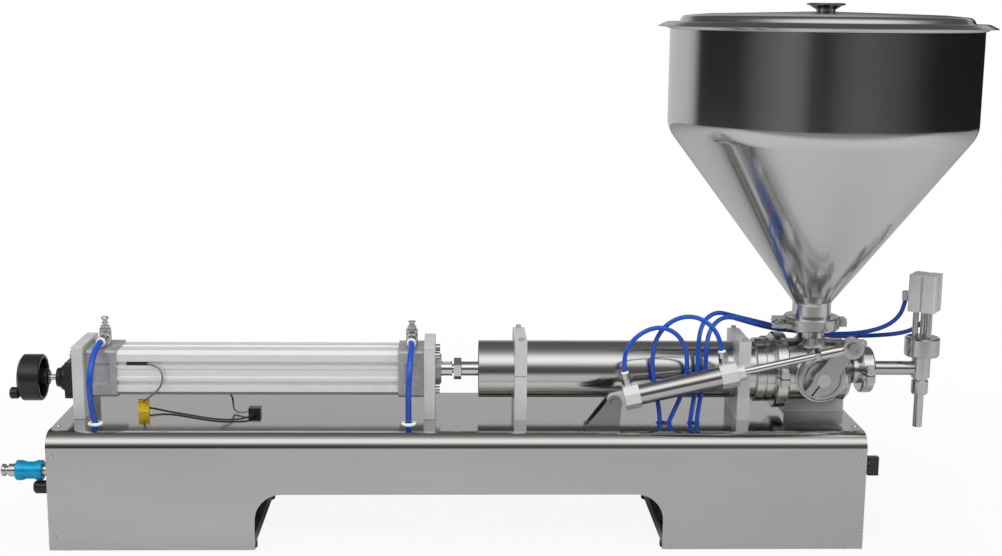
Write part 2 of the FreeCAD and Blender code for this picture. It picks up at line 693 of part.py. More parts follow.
def make_adjuster():
    """Bearing block, captive screw with its handwheel, and the sleeve that the screw moves."""
    half = adjuster_block_size / 2
    block_left = rear_plate_x - adjuster_block_length
    block = new_body("adjuster_block_body")
    extrude(block, "YZ_Plane", adjuster_block_length, side="One side", outline=square(adjuster_block_size, as_size(5)))
    put(block, (block_left, 0, adjuster_height))
    flange = turned("adjuster_flange", [
        (0, 0), (adjuster_flange_radius, 0), (adjuster_flange_radius, adjuster_flange_length - 3),
        (adjuster_flange_radius - 2, adjuster_flange_length), (adjuster_flange_radius - 4, adjuster_flange_length),
        (adjuster_flange_radius - 5, adjuster_flange_length + 6), (0, adjuster_flange_length + 6)])
    put(flange, (block_left, 0, adjuster_height), "-x")
    bore = cylinder("screw_bore", screw_radius + running_clearance,
                    (block_left - adjuster_flange_length - 8, 0, adjuster_height), adjuster_block_length + 30, "x")
    sleeve_room = cylinder("sleeve_room", sleeve_radius + running_clearance,
                           (rear_plate_x - 6, 0, adjuster_height), 8, "x")
    screws = []
    for side in (-1, 1):
        for rise in (-1, 1):
            screws.append(cylinder("block_recess", 3.2, (block_left - 1, (half - 6) * side,
                                                         adjuster_height + (half - 6) * rise), 3, "x"))
    node("adjuster_block", cut("adjuster_block_cut", fuse("adjuster_fuse", block, flange), bore, sleeve_room, *screws))

    wheel_right = block_left - adjuster_flange_length - wheel_gap
    wheel_left = wheel_right - wheel_depth
    sleeve_right = tube_left + sleeve_reach
    screw_right = sleeve_right - 21
    shaft = cylinder("stroke_screw_shaft", screw_radius, (0, 0, 0), screw_right - wheel_left - 6)
    node("stroke_screw", shaft, (wheel_left + 6, 0, adjuster_height), "x")
    sleeve = turned("stop_sleeve_turned", [
        (screw_radius + running_clearance, 0), (sleeve_radius, 0), (sleeve_radius, sleeve_length - 2),
        (sleeve_radius - 2, sleeve_length), (0, sleeve_length), (0, sleeve_length - 8),
        (screw_radius + running_clearance, sleeve_length - 8)])
    node("stop_sleeve", sleeve, (sleeve_right - sleeve_length, 0, adjuster_height), "x")

    rim, hub = wheel_radius, 12
    wheel = turned("handwheel_turned", [
        (screw_radius, 6), (0, 6), (0, 0), (rim - 5, 0), (rim, 4), (rim, wheel_depth - 5), (rim - 1.5, wheel_depth - 3),
        (rim - 5, wheel_depth - 3), (rim - 6, wheel_depth - 6), (rim - 7, 7), (hub, 7), (hub, wheel_depth + 3),
        (hub - 3, wheel_depth + 5), (screw_radius, wheel_depth + 5)])
    put(wheel, (wheel_left, 0, adjuster_height), "x")
    pin_y, pin_z = grip_orbit * -0.6, grip_orbit * -0.8
    pin = cylinder("grip_pin", 3, (wheel_left + 1, pin_y, adjuster_height + pin_z), grip_length + 1, "-x")
    node("handwheel", fuse("handwheel_fuse", wheel, pin))
    grip = turned("handwheel_grip_turned", [
        (3 + running_clearance, 0), (grip_radius - 1.5, 0), (grip_radius, 2), (grip_radius, grip_length - 1.5),
        (grip_radius - 1.5, grip_length), (3 + running_clearance, grip_length)])
    node("handwheel_grip", grip, (wheel_left - seat_gap, pin_y, adjuster_height + pin_z), "-x")


def make_material_cylinder():
    """Open sanitary tube in two split clamps, its end collar, push rod and piston."""
    right_end = body_joint_x - 9
    tube = turned("material_cylinder_turned", ring_points(material_radius - material_wall, material_radius,
                                                    0, right_end - material_left))
    node("material_cylinder", tube, (material_left, 0, main_axis), "x")

    face = body_joint_x - gasket_thickness / 2 - collar_left
    outer = collar_radius
    groove = outer - 2
    bore = material_radius + 0.02
    collar = turned("end_collar_turned", [
        (bore, 0), (outer - 1.5, 0), (outer, 1.5), (outer, 12), (groove, 12), (groove, 14), (outer, 14),
        (outer, 22), (groove, 22), (groove, 25), (outer, 25), (outer, face - ferrule_thickness),
        (body_ferrule_radius, face - ferrule_thickness), (body_ferrule_radius, face),
        (material_radius - material_wall, face), (material_radius - material_wall, right_end - collar_left),
        (bore, right_end - collar_left)])
    node("end_collar", collar, (collar_left, 0, main_axis), "x")

    clamps = []
    for index, left in enumerate((clamp_one_x, clamp_two_x)):
        right = left + tube_clamp_thickness
        side = tube_clamp_half_width
        bore_tool = cylinder(f"clamp_bore_{index}", material_radius + 0.02, (left - 1, 0, main_axis),
                             tube_clamp_thickness + 2, "x")
        lower = box(f"lower_{index}", (left, -side, base_top), (right, side, main_axis - tube_clamp_slit / 2))
        upper = box(f"upper_{index}", (left, -side, main_axis + tube_clamp_slit / 2), (right, side, tube_clamp_top))
        for name, half in (("lower", lower), ("upper", upper)):
            holes = [cylinder(f"{name}_hole", 1.95, (left + tube_clamp_thickness / 2, (side - 3.4) * across,
                                                     main_axis - 16), tube_clamp_top - main_axis + 20)
                     for across in (-1, 1)]
            clamps.append(cut(f"{name}_half_{index}", half, bore_tool, *holes))
    node("tube_clamps", group("tube_clamp_group", *clamps))

    piston = turned("material_piston_turned", [
        (6, 0), (material_radius - material_wall - 4, 0), (material_radius - material_wall - seal_clearance, 6),
        (material_radius - material_wall - seal_clearance, 12), (material_radius - material_wall - 3, 14),
        (material_radius - material_wall - 3, 26), (material_radius - material_wall - seal_clearance, 28),
        (material_radius - material_wall - seal_clearance, 35), (material_radius - material_wall - 4, material_piston_length),
        (0, material_piston_length), (0, 24), (6, 24)])
    node("material_piston", piston, (material_piston_x - material_piston_length, 0, main_axis), "x")

    thread_face = air_piston_x + air_piston_length + ROD_REACH + 2.5
    rod_end = material_piston_x - material_piston_length
    nut = prism("lock_nut", 6, 15, (thread_face, 0, main_axis), 10, "x")
    rod = cylinder("push_rod", rod_radius - 0.5, (thread_face + 10, 0, main_axis), rod_end - thread_face - 10, "x")
    tenon = cylinder("push_tenon", 6, (rod_end, 0, main_axis), 23.5, "x")
    thread_hole = cylinder("thread_hole", rod_radius - 4 + 0.02, (thread_face - 1, 0, main_axis), 16, "x")
    node("pushrod", cut("pushrod_cut", fuse("pushrod_fuse", nut, rod, tenon), thread_hole))


def clamp_ring(name, flange_radius, left_pipe, right_pipe, bolt_offset):
    """A pipe clamp about its own Z axis: hinge lug on its -X side, wing bolt on its +X side."""
    half_width = pipe_clamp_width / 2
    half_seat = ferrule_thickness + gasket_thickness / 2 + seat_gap
    seat = flange_radius + seat_gap
    outer = seat + pipe_clamp_wall
    ring = turned(name + "_ring", [
        (left_pipe + seat_gap, -half_width), (outer - 2, -half_width), (outer, 2 - half_width),
        (outer, half_width - 2), (outer - 2, half_width), (right_pipe + seat_gap, half_width),
        (right_pipe + seat_gap, half_seat), (seat, half_seat), (seat, -half_seat),
        (left_pipe + seat_gap, -half_seat)])
    hinge_x = -outer - 3.5
    wing_x = outer + bolt_offset
    lugs = [box(name + "_hinge", (hinge_x - 5, -9, -5.5), (hinge_x + 6, 9, 5.5)),
            box(name + "_lug", (outer - 4, -12, -6), (wing_x + 5.5, 12, 6))]
    inner = min(left_pipe.value, right_pipe.value) - 1
    slits = [box(name + "_slit", (hinge_x - 6, -1, -10), (-inner, 1, 10)),
             box(name + "_wide_slit", (inner, -1.5, -10), (wing_x + 6, 1.5, 10))]
    bolts = [cylinder(name + "_hinge_bolt", 2.5, (hinge_x, -11.5, 0), 23, "y"),
             prism(name + "_hinge_nut", 6, 5, (hinge_x, -13, 0), 4, "y"),
             prism(name + "_hinge_nut_far", 6, 5, (hinge_x, 9, 0), 4, "y"),
             cylinder(name + "_wing_bolt", 3, (wing_x, -15, 0), 36, "y"),
             prism(name + "_bolt_head", 6, 5.8, (wing_x, -16, 0), 4, "y")]
    return fuse(name + "_whole", cut(name + "_split", fuse(name + "_lugged", ring, *lugs), *slits), *bolts)


def wing_nut(name):
    """A nut about its own Z axis with a bow-shaped grip above it."""
    hub = cylinder(name + "_hub", 5.8, (0, 0, 0), 8)
    bow = new_body(name + "_bow")
    extrude(bow, "XZ_Plane", 5, outline=[(-13.5, 6, 4), (-13.5, 20.5, 5), (13.5, 20.5, 5), (13.5, 6, 4)])
    extrude(bow, "XZ_Plane", 10, kind="PartDesign::Pocket",
            outline=[(-9.5, 9.5, 2), (-9.5, 17, 2.5), (9.5, 17, 2.5), (9.5, 9.5, 2)])
    bore = cylinder(name + "_bore", 3 + running_clearance, (0, 0, -1), 10)
    return cut(name + "_cut", fuse(name + "_fuse", hub, bow), bore)


def turn_about(thing, axis, degrees):
    """Turns a placed piece about an axis through its own origin."""
    turn = FreeCAD.Rotation(FreeCAD.Vector(*axis), degrees)
    thing.Placement = FreeCAD.Placement(thing.Placement.Base, turn * thing.Placement.Rotation)
    return thing


def make_clamps():
    """Three pipe clamps, the gaskets inside them and their wing nuts."""
    band = seat_gap + pipe_clamp_wall
    neck = valve_neck_radius
    body_ring = clamp_ring("body_clamp", body_ferrule_radius, collar_radius, valve_body_radius, body_wing_offset)
    outlet_ring = clamp_ring("outlet_clamp", outlet_ferrule_radius, neck, neck, small_wing_offset)
    hopper_ring = clamp_ring("hopper_clamp", hopper_ferrule_radius, neck, hopper_neck_radius, hopper_wing_offset)
    # The two upright rings have their hinge in front and their wing nut behind
    lay_over = FreeCAD.Rotation(FreeCAD.Vector(0, 1, 0), FreeCAD.Vector(0, 0, 1), FreeCAD.Vector(1, 0, 0), "ZXY")
    for ring, joint_x in ((body_ring, body_joint_x), (outlet_ring, outlet_joint_x)):
        put(ring, (joint_x, 0, main_axis))
        ring.Placement = FreeCAD.Placement(ring.Placement.Base, lay_over)
    put(hopper_ring, (hopper_x, 0, hopper_joint_z))
    turn_about(hopper_ring, (0, 0, 1), 180)
    node("pipe_clamps", group("pipe_clamp_group", body_ring, outlet_ring, hopper_ring))

    half = gasket_thickness / 2
    gaskets = []
    for name, outer, inner, spot, axis in (
            ("body", body_ferrule_radius, material_radius - material_wall, (body_joint_x - half, 0, main_axis), "x"),
            ("outlet", outlet_ferrule_radius, passage_radius, (outlet_joint_x - half, 0, main_axis), "x"),
            ("hopper", hopper_ferrule_radius, passage_radius, (hopper_x, 0, hopper_joint_z - half), "z")):
        gaskets.append(put(turned(name + "_gasket", ring_points(inner, outer, 0, gasket_thickness)), spot, axis))
    node("clamp_gaskets", group("gasket_group", *gaskets))

    rise = 12 + seat_gap
    node("wing_nut_body", wing_nut("body_wing"),
         (body_joint_x, body_ferrule_radius + band + body_wing_offset, main_axis + rise))
    node("wing_nut_outlet", wing_nut("outlet_wing"),
         (outlet_joint_x, outlet_ferrule_radius + band + small_wing_offset, main_axis + rise))
    node("wing_nut_hopper", wing_nut("hopper_wing"),
         (hopper_x - hopper_ferrule_radius - band - hopper_wing_offset, -rise, hopper_joint_z), "-y")


def make_valve():
    """Ported valve body on its stand, T-passage core, round cover and slotted lever."""
    left_face = body_joint_x + gasket_thickness / 2
    flange = body_ferrule_radius
    barrel = turned("valve_barrel", [
        (0, 0), (flange, 0), (flange, ferrule_thickness), (valve_body_radius, ferrule_thickness),
        (valve_body_radius, valve_body_right - left_face - 6), (valve_body_radius - 6, valve_body_right - left_face),
        (valve_neck_radius + 4, valve_body_right - left_face + 5), (valve_neck_radius, valve_body_right - left_face + 9),
        (valve_neck_radius, outlet_joint_x - gasket_thickness / 2 - ferrule_thickness - left_face),
        (outlet_ferrule_radius, outlet_joint_x - gasket_thickness / 2 - ferrule_thickness - left_face),
        (outlet_ferrule_radius, outlet_joint_x - gasket_thickness / 2 - left_face),
        (0, outlet_joint_x - gasket_thickness / 2 - left_face)])
    put(barrel, (left_face, 0, main_axis), "x")
    neck_top = hopper_joint_z - gasket_thickness / 2
    neck = put(turned("valve_neck", [
        (0, 0), (valve_neck_radius + 8, 0), (valve_neck_radius + 8, 36), (valve_neck_radius, 46),
        (valve_neck_radius, neck_top - main_axis - ferrule_thickness), (hopper_ferrule_radius, neck_top - main_axis - ferrule_thickness),
        (hopper_ferrule_radius, neck_top - main_axis), (0, neck_top - main_axis)]), (hopper_x, 0, main_axis))
    boss = cylinder("valve_boss", boss_radius, (valve_x, boss_front, main_axis), boss_front * 2, "-y")
    core_room = cylinder("core_room", core_radius + running_clearance, (valve_x, -boss_front - 1, main_axis),
                         boss_front + 1 + 42, "y")
    inlet = cone("inlet_passage", material_radius - material_wall, passage_radius,
                 (left_face - 0.01, 0, main_axis), 18, "x")
    side_passage = cylinder("side_passage", passage_radius, (left_face, 0, main_axis),
                            outlet_joint_x - left_face + 2, "x")
    top_passage = cylinder("top_passage", passage_radius, (hopper_x, 0, main_axis), neck_top - main_axis + 2)
    node("valve_body", cut("valve_body_cut", fuse("valve_body_fuse", barrel, neck, boss),
                           core_room, inlet, side_passage, top_passage))

    lever_back = core_front + seat_gap
    core = turned("core_turned", [
        (0, 0), (core_radius, 0), (core_radius, boss_front + 40.5), (12, boss_front + 40.5), (12, boss_front + 41.4),
        (0, boss_front + 41.4)])
    put(core, (valve_x, -boss_front + seat_gap, main_axis), "y")
    stem = cylinder("core_stem", 9, (valve_x, -boss_front + 2, main_axis), cover_thickness + lever_thickness + 3, "-y")
    through = cylinder("core_through", passage_radius, (valve_x, 0, main_axis - core_radius - 2), core_radius * 2 + 4)
    branch = cylinder("core_branch", passage_radius, (valve_x, 0, main_axis), core_radius + 2, "-x")
    node("valve_core", cut("core_cut", fuse("core_fuse", core, stem), through, branch))

    cover = turned("valve_cover_turned", [
        (9 + running_clearance, 0), (cover_radius, 0), (cover_radius, cover_thickness - 3),
        (cover_radius - 3, cover_thickness - 1), (cover_radius - 6, cover_thickness - 1),
        (cover_radius - 6, cover_thickness - 3), (cover_radius - 9, cover_thickness - 3),
        (cover_radius - 9, cover_thickness), (9 + running_clearance, cover_thickness)])
    node("valve_cover", cover, (valve_x, -boss_front, main_axis), "-y")

    # Drawn with its arm along +X, then turned to its rest angle
    thickness = lever_thickness
    hub = cylinder("lever_hub", 14, (0, 0, 0), thickness)
    tail = box("lever_tail", (-26, -10.5, 0), (0, 10.5, thickness))
    arm = new_body("lever_arm_body")
    extrude(arm, "XY_Plane", thickness, side="One side", outline=[
        (0, -13), (lever_arm, -10), (lever_arm, 10), (0, 13)])
    tip = cylinder("lever_tip", 11, (lever_arm, 0, 0), thickness)
    slot = box("lever_slot", (-28, -1, -1), (-7, 1, thickness + 1))
    bore = cylinder("lever_bore", 9 + 0.02, (0, 0, -1), thickness + 2)
    pinch = cylinder("pinch_hole", 2.6, (-20, -12, thickness / 2), 24, "y")
    bolt_tip = linkage_plane + 6 + 4
    bolt = cylinder("eye_bolt", eye_bolt_radius, (lever_arm, 0, 0), bolt_tip - lever_back, "z")
    bolt_head = cut("bolt_head_cut", cylinder("bolt_head", 8, (lever_arm, 0, linkage_plane + 6 + seat_gap - lever_back), 5.5),
                    prism("bolt_socket", 6, 4.6, (lever_arm, 0, linkage_plane + 9.4 - lever_back), 5))
    lever = fuse("lever_whole", cut("lever_cut", fuse("lever_fuse", hub, tail, arm, tip), slot, bore, pinch),
                 bolt, bolt_head)
    node("valve_lever", lever, (valve_x, -lever_back, main_axis), "-y")
    lever.Placement = FreeCAD.Placement(lever.Placement.Base, lever.Placement.Rotation)
    spin = FreeCAD.Rotation(FreeCAD.Vector(0, -1, 0), lever_rest_angle.value)
    lever.Placement = FreeCAD.Placement(lever.Placement.Base, spin * AXIS_TURNS["-y"])

    # Welded stand under the barrel, on its own foot plate
    stand = box("stand_web", (VALVE_STAND_LEFT, -3, base_top), (VALVE_STAND_RIGHT, 3, main_axis - 20))
    foot = box("stand_foot", (VALVE_STAND_LEFT, -3, base_top), (VALVE_STAND_RIGHT, 40, base_top + 5))
    barrel_space = cylinder("barrel_space", valve_body_radius + 0.02, (VALVE_STAND_LEFT - 5, 0, main_axis),
                            VALVE_STAND_RIGHT - VALVE_STAND_LEFT + 10, "x")
    node("valve_stand", cut("stand_cut", fuse("stand_fuse", stand, foot), barrel_space))


def in_link_frame(thing, name):
    """Places a node drawn along the valve cylinder's axis, from the rear pivot."""
    node(name, thing, (pivot_x, -linkage_plane, pivot_height))
    thing.Placement = FreeCAD.Placement(thing.Placement.Base, FreeCAD.Rotation(FreeCAD.Vector(0, -1, 0), link_tilt.value))
    thing.setExpression("Placement.Rotation.Angle", link_tilt.text)


def make_valve_cylinder():
    """Small air cylinder on its pivot bracket, its rod with lock nut, and the eye on the lever."""
    tail = fuse("tail", cylinder("tail_round", 9, (0, 6, 0), 12, "-y"), box("tail_block", (0, -6, -9), (14, 6, 9)))
    corner = cap_flats / 2 / cosine(as_size(22.5))
    rear_cap = prism("rear_cap", 8, corner, (14, 0, 0), CAP_LENGTH, "x")
    front_cap = prism("front_cap", 8, corner, (14 + CAP_LENGTH + BARREL_LENGTH, 0, 0), CAP_LENGTH + 2, "x")
    for cap in (rear_cap, front_cap):
        turn_about(cap, (1, 0, 0), 22.5)
    barrel = cylinder("barrel", barrel_radius, (14 + CAP_LENGTH, 0, 0), BARREL_LENGTH, "x")
    nose_left = 16 + CAP_LENGTH * 2 + BARREL_LENGTH
    nose = cylinder("nose", 11, (nose_left, 0, 0), 10, "x")
    fittings = []
    for place in PORT_PLACES:
        fittings.append(cylinder("port_base", 5.8, (place, 0, cap_flats / 2 - 1), 5))
        fittings.append(prism("port_hex", 6, 6.5, (place, 0, cap_flats / 2 + 2), 7))
        fittings.append(cylinder("port_collar", 5.6, (place, 0, cap_flats / 2 + 9), PORT_TOP - cap_flats.value / 2 - 9))
    bore = cylinder("barrel_bore", barrel_radius - 0.9, (14 + CAP_LENGTH - 4, 0, 0), BARREL_LENGTH + 8, "x")
    rod_bore = cylinder("cap_bore", valve_rod_radius + running_clearance, (14 + CAP_LENGTH, 0, 0),
                        nose_left + 12 - 14 - CAP_LENGTH, "x")
    pin_bore = cylinder("pin_bore", 4 + running_clearance, (0, 8, 0), 16, "-y")
    whole = cut("valve_cylinder_cut", fuse("valve_cylinder_fuse", tail, rear_cap, front_cap, barrel, nose, *fittings),
                bore, rod_bore, pin_bore)
    in_link_frame(whole, "valve_cylinder")

    rod_tip = link_length - eye_length - 1.6
    piston_left = 14 + CAP_LENGTH + BARREL_LENGTH - 12
    piston = cylinder("valve_piston", barrel_radius - 0.9 - seal_clearance, (piston_left, 0, 0), 10, "x")
    rod = cylinder("valve_rod", valve_rod_radius, (piston_left, 0, 0), rod_tip - piston_left, "x")
    nut = prism("rod_nut", 6, 9.5, (rod_tip - 6, 0, 0), 6, "x")
    in_link_frame(fuse("valve_rod_fuse", piston, rod, nut), "valve_cylinder_rod")

    ring = cylinder("eye_ring", eye_radius, (link_length, 6, 0), 12, "-y")
    shank = cone("eye_shank", 6, 8, (link_length - eye_radius + 3, 0, 0), 16, "-x")
    socket = cylinder("eye_socket", 8, (link_length - eye_radius - 13, 0, 0), eye_length - eye_radius - 13, "-x")
    eye_bore = cylinder("eye_bore", eye_bolt_radius + running_clearance, (link_length, 8, 0), 16, "-y")
    in_link_frame(cut("eye_cut", fuse("eye_fuse", ring, shank, socket), eye_bore), "rod_eye")

    # Bracket: two ears on a foot, with the pivot pin through them
    ears = []
    foot_left, foot_right = pivot_x - 38, pivot_x + 6.5
    for face in (-12.5, 9.5):
        ear = new_body("bracket_ear")
        extrude(ear, "XZ_Plane", 3, side="One side", outline=[
            (-38, 0), (6.5, 0), (9, pivot_height - base_top), (-8, pivot_height - base_top + 4)])
        put(ear, (pivot_x, -linkage_plane + face + 3, base_top))
        ears.append(ear)
        ears.append(cylinder("ear_round", 9, (pivot_x, -linkage_plane + face + 3, pivot_height), 3, "-y"))
    foot = box("bracket_foot", (foot_left, -linkage_plane - 12.5, base_top), (foot_right, -linkage_plane + 12.5, base_top + 3))
    pin = cylinder("pivot_pin", 4, (pivot_x, -linkage_plane + 15, pivot_height), 30, "-y")
    pin_head = cylinder("pin_head", 5.5, (pivot_x, -linkage_plane - 12.5, pivot_height), 2.5, "-y")
    node("cylinder_bracket", fuse("bracket_fuse", foot, pin, pin_head, *ears))


def make_hopper():
    """Hopper of cone and cylinder, closed by a loose lid with a knob."""
    wall = hopper_wall
    neck = hopper_neck_radius
    bottom = hopper_joint_z + gasket_thickness / 2
    inner_neck = neck - wall
    slant = wall * 1.32
    body = turned("hopper_turned", [
        (passage_radius + 1, bottom), (hopper_ferrule_radius, bottom), (hopper_ferrule_radius, bottom + ferrule_thickness),
        (neck, bottom + ferrule_thickness), (neck, cone_bottom_z), (hopper_radius, cone_top_z),
        (hopper_radius, hopper_top_z - hopper_bead * 2), (hopper_radius + hopper_bead, hopper_top_z - hopper_bead * 2),
        (hopper_radius + hopper_bead * 2, hopper_top_z - hopper_bead),
        (hopper_radius + hopper_bead, hopper_top_z), (hopper_radius - wall, hopper_top_z),
        (hopper_radius - wall, cone_top_z + slant * 0.3), (inner_neck, cone_bottom_z + slant * 0.3),
        (inner_neck, bottom + ferrule_thickness * 1.5), (passage_radius + 1, bottom + ferrule_thickness)])
    node("hopper", body, (hopper_x, 0, 0))

    under = hopper_top_z + seat_gap
    skin = lid_wall
    lid = turned("lid_shell", [
        (0, 16 - skin), (150, 12.5 - skin), (182, 9.5 - skin), (186.5, 0), (hopper_radius + hopper_bead, 0),
        (lid_radius - 1, -4), (lid_radius, -3), (hopper_radius + hopper_bead + 1, skin + 1.2),
        (188.5, skin + 0.4), (184, 10.5), (150, 13.5), (0, 17)])
    put(lid, (0, 0, 0))
    knob = put(turned("lid_knob", [(0, 0), (11, 0), (12, 2), (knob_radius - 3, 7.5), (knob_radius, 8.5),
                                   (knob_radius, 10), (knob_radius - 2, 11), (0, 11)]), (0, 0, 16.9))
    node("hopper_lid", fuse("lid_fuse", lid, knob), (hopper_x, 0, under))


def make_nozzle():
    """Outlet tube, nozzle body with collar and posts, compact cylinder, plunger and nozzle pipe."""
    face = outlet_joint_x + gasket_thickness / 2
    ferrule = put(turned("outlet_ferrule", [
        (0, 0), (outlet_ferrule_radius, 0), (outlet_ferrule_radius, ferrule_thickness),
        (valve_neck_radius, ferrule_thickness), (valve_neck_radius, 9), (outlet_tube_radius + 1, 14), (0, 14)]),
        (face, 0, main_axis), "x")
    tube_end = nozzle_x - nozzle_body_radius + 2
    tube = cylinder("outlet_pipe", outlet_tube_radius, (face + 8, 0, outlet_height), tube_end - face - 8, "x")
    tube_bore = cylinder("outlet_bore", outlet_tube_radius - 1.5, (face + 6, 0, outlet_height), tube_end - face, "x")
    funnel = cone("outlet_funnel", passage_radius, outlet_tube_radius - 2, (face - 0.01, 0, main_axis), 11, "x")
    body_space = cylinder("body_space", nozzle_body_radius + 0.02, (nozzle_x, 0, outlet_height - 40), 80)
    node("outlet_tube", cut("outlet_cut", fuse("outlet_fuse", ferrule, tube), tube_bore, funnel, body_space))

    low, top = NOZZLE_BODY_LOW, NOZZLE_BODY_TOP
    collar = 23.3
    core = turned("nozzle_core", [
        (0, low - 14), (9, low - 14), (9, low), (nozzle_body_radius, low), (nozzle_body_radius, top - 26),
        (collar - 1.5, top - 26), (collar, top - 24), (collar, top - 2), (collar - 2, top), (0, top)])
    put(core, (nozzle_x, 0, 0))
    posts = []
    for index in range(3):
        angle = math.radians(90 + 120 * index + nozzle_turn.value)
        posts.append(cylinder("post", 4, (nozzle_x + 10.5 * math.cos(angle), 10.5 * math.sin(angle), top - 4),
                              nozzle_cylinder_bottom - top + 4))
    bore = cylinder("nozzle_bore", nozzle_bore_radius, (nozzle_x, 0, low - 16), outlet_height + 14 - low + 16)
    stem_bore = cylinder("stem_bore", plunger_radius + running_clearance, (nozzle_x, 0, outlet_height), top + 2 - outlet_height)
    inlet = cylinder("nozzle_inlet", outlet_tube_radius - 1.5, (nozzle_x - 20, 0, outlet_height), 20, "x")
    node("nozzle_body", cut("nozzle_body_cut", fuse("nozzle_body_fuse", core, *posts), bore, stem_bore, inlet))

    tip = turned("nozzle_tip_turned", [
        (4.5, nozzle_pipe_bottom), (nozzle_pipe_radius, nozzle_pipe_bottom), (nozzle_pipe_radius, low - 23),
        (10, low - 23), (11.2, low - 21.5), (11.2, low - 5), (10, low - 3.5), (9.05, low - 3.5),
        (9.05, low - 14.3), (4.5, low - 14.3)])
    node("nozzle_tip", tip, (nozzle_x, 0, 0))

    piston_z = nozzle_cylinder_bottom + 6
    plunger = turned("nozzle_plunger_turned", [
        (0, low - 13.9), (5.5, low - 13.9), (6.5, low - 12.5), (6.5, low - 3), (plunger_radius, low - 1),
        (plunger_radius, piston_z), (12 - seal_clearance, piston_z), (12 - seal_clearance, piston_z + 9),
        (0, piston_z + 9)])
    node("nozzle_plunger", plunger, (nozzle_x, 0, 0))

    # Square extruded cylinder with sensor grooves and two elbow fittings on its hidden sides
    half = nozzle_cylinder_size / 2
    height = nozzle_cylinder_top - nozzle_cylinder_bottom
    shell = new_body("nozzle_cylinder_shell")
    groove = 1.6
    side_points = [(half, -half + 2), (half, -groove), (half - 3.5, -groove), (half - 3.5, groove), (half, groove),
                   (half, half - 2)]
    outline = []
    for quarter in range(4):
        for across, up in side_points:
            for _ in range(quarter):
                across, up = -up, across
            outline.append((across, up))
    extrude(shell, "XY_Plane", height, outline=outline, side="One side")
    elbows = []
    for place, side in (((-half, 0), "-x"), ((0, half), "y")):
        rise = 21 if side == "-x" else 13
        start = (place[0], place[1], rise)
        elbows.append(cylinder("elbow_stub", 4, start, 9, side))
        drop = (place[0] - 8, 0, rise + 3) if side == "-x" else (0, place[1] + 8, rise + 3)
        elbows.append(cylinder("elbow_drop", 4.8, drop, 12, "-z"))
    room = cylinder("piston_room", 12, (0, 0, 5), height - 10)
    rod_hole = cylinder("plunger_hole", plunger_radius + running_clearance, (0, 0, -1), 8)
    body = cut("nozzle_cylinder_cut", fuse("nozzle_cylinder_fuse", shell, *elbows), room, rod_hole)
    node("nozzle_cylinder", body, (nozzle_x, 0, nozzle_cylinder_bottom))
    body.Placement = FreeCAD.Placement(body.Placement.Base, FreeCAD.Rotation(FreeCAD.Vector(0, 0, 1), nozzle_turn.value))


def make_speed_controllers():
    """A flow regulator on each cover: body with its hose port, and the adjusting screw with lock nut."""
    cover_top = main_axis + cover_size / 2
    bodies = []
    for name, x, reach in (("rear", REAR_PORT_X, 15.5), ("front", FRONT_PORT_X, 11)):
        stem = cylinder("regulator_stem", 8, (x, 0, cover_top), 16)
        hexagon = prism("regulator_hex", 6, 8, (x, 0, cover_top + 16), 6)
        arm = cylinder("regulator_arm", 6, (x, 0, cover_top + 8.5), 24, "-y")
        collar = cylinder("regulator_collar", 6.8, (x, -21, cover_top + 8.5), PORT_ARM - 21, "-y")
        hole = cylinder("regulator_bore", 3 + running_clearance, (x, 0, cover_top + 12), 14)
        bodies.append(cut(name + "_regulator", fuse(name + "_regulator_fuse", stem, hexagon, arm, collar), hole))
        screw = turned(f"speed_screw_{name}_turned", [
            (0, -8), (3, -8), (3, 0.3), (6, 0.3), (6, 3.8), (3, 3.8), (3, 6), (5, 6), (5, reach - 1), (4, reach),
            (0, reach)])
        node("speed_screw_" + name, screw, (x, 0, cover_top + 22))
    node("speed_controllers", group("regulators", *bodies))


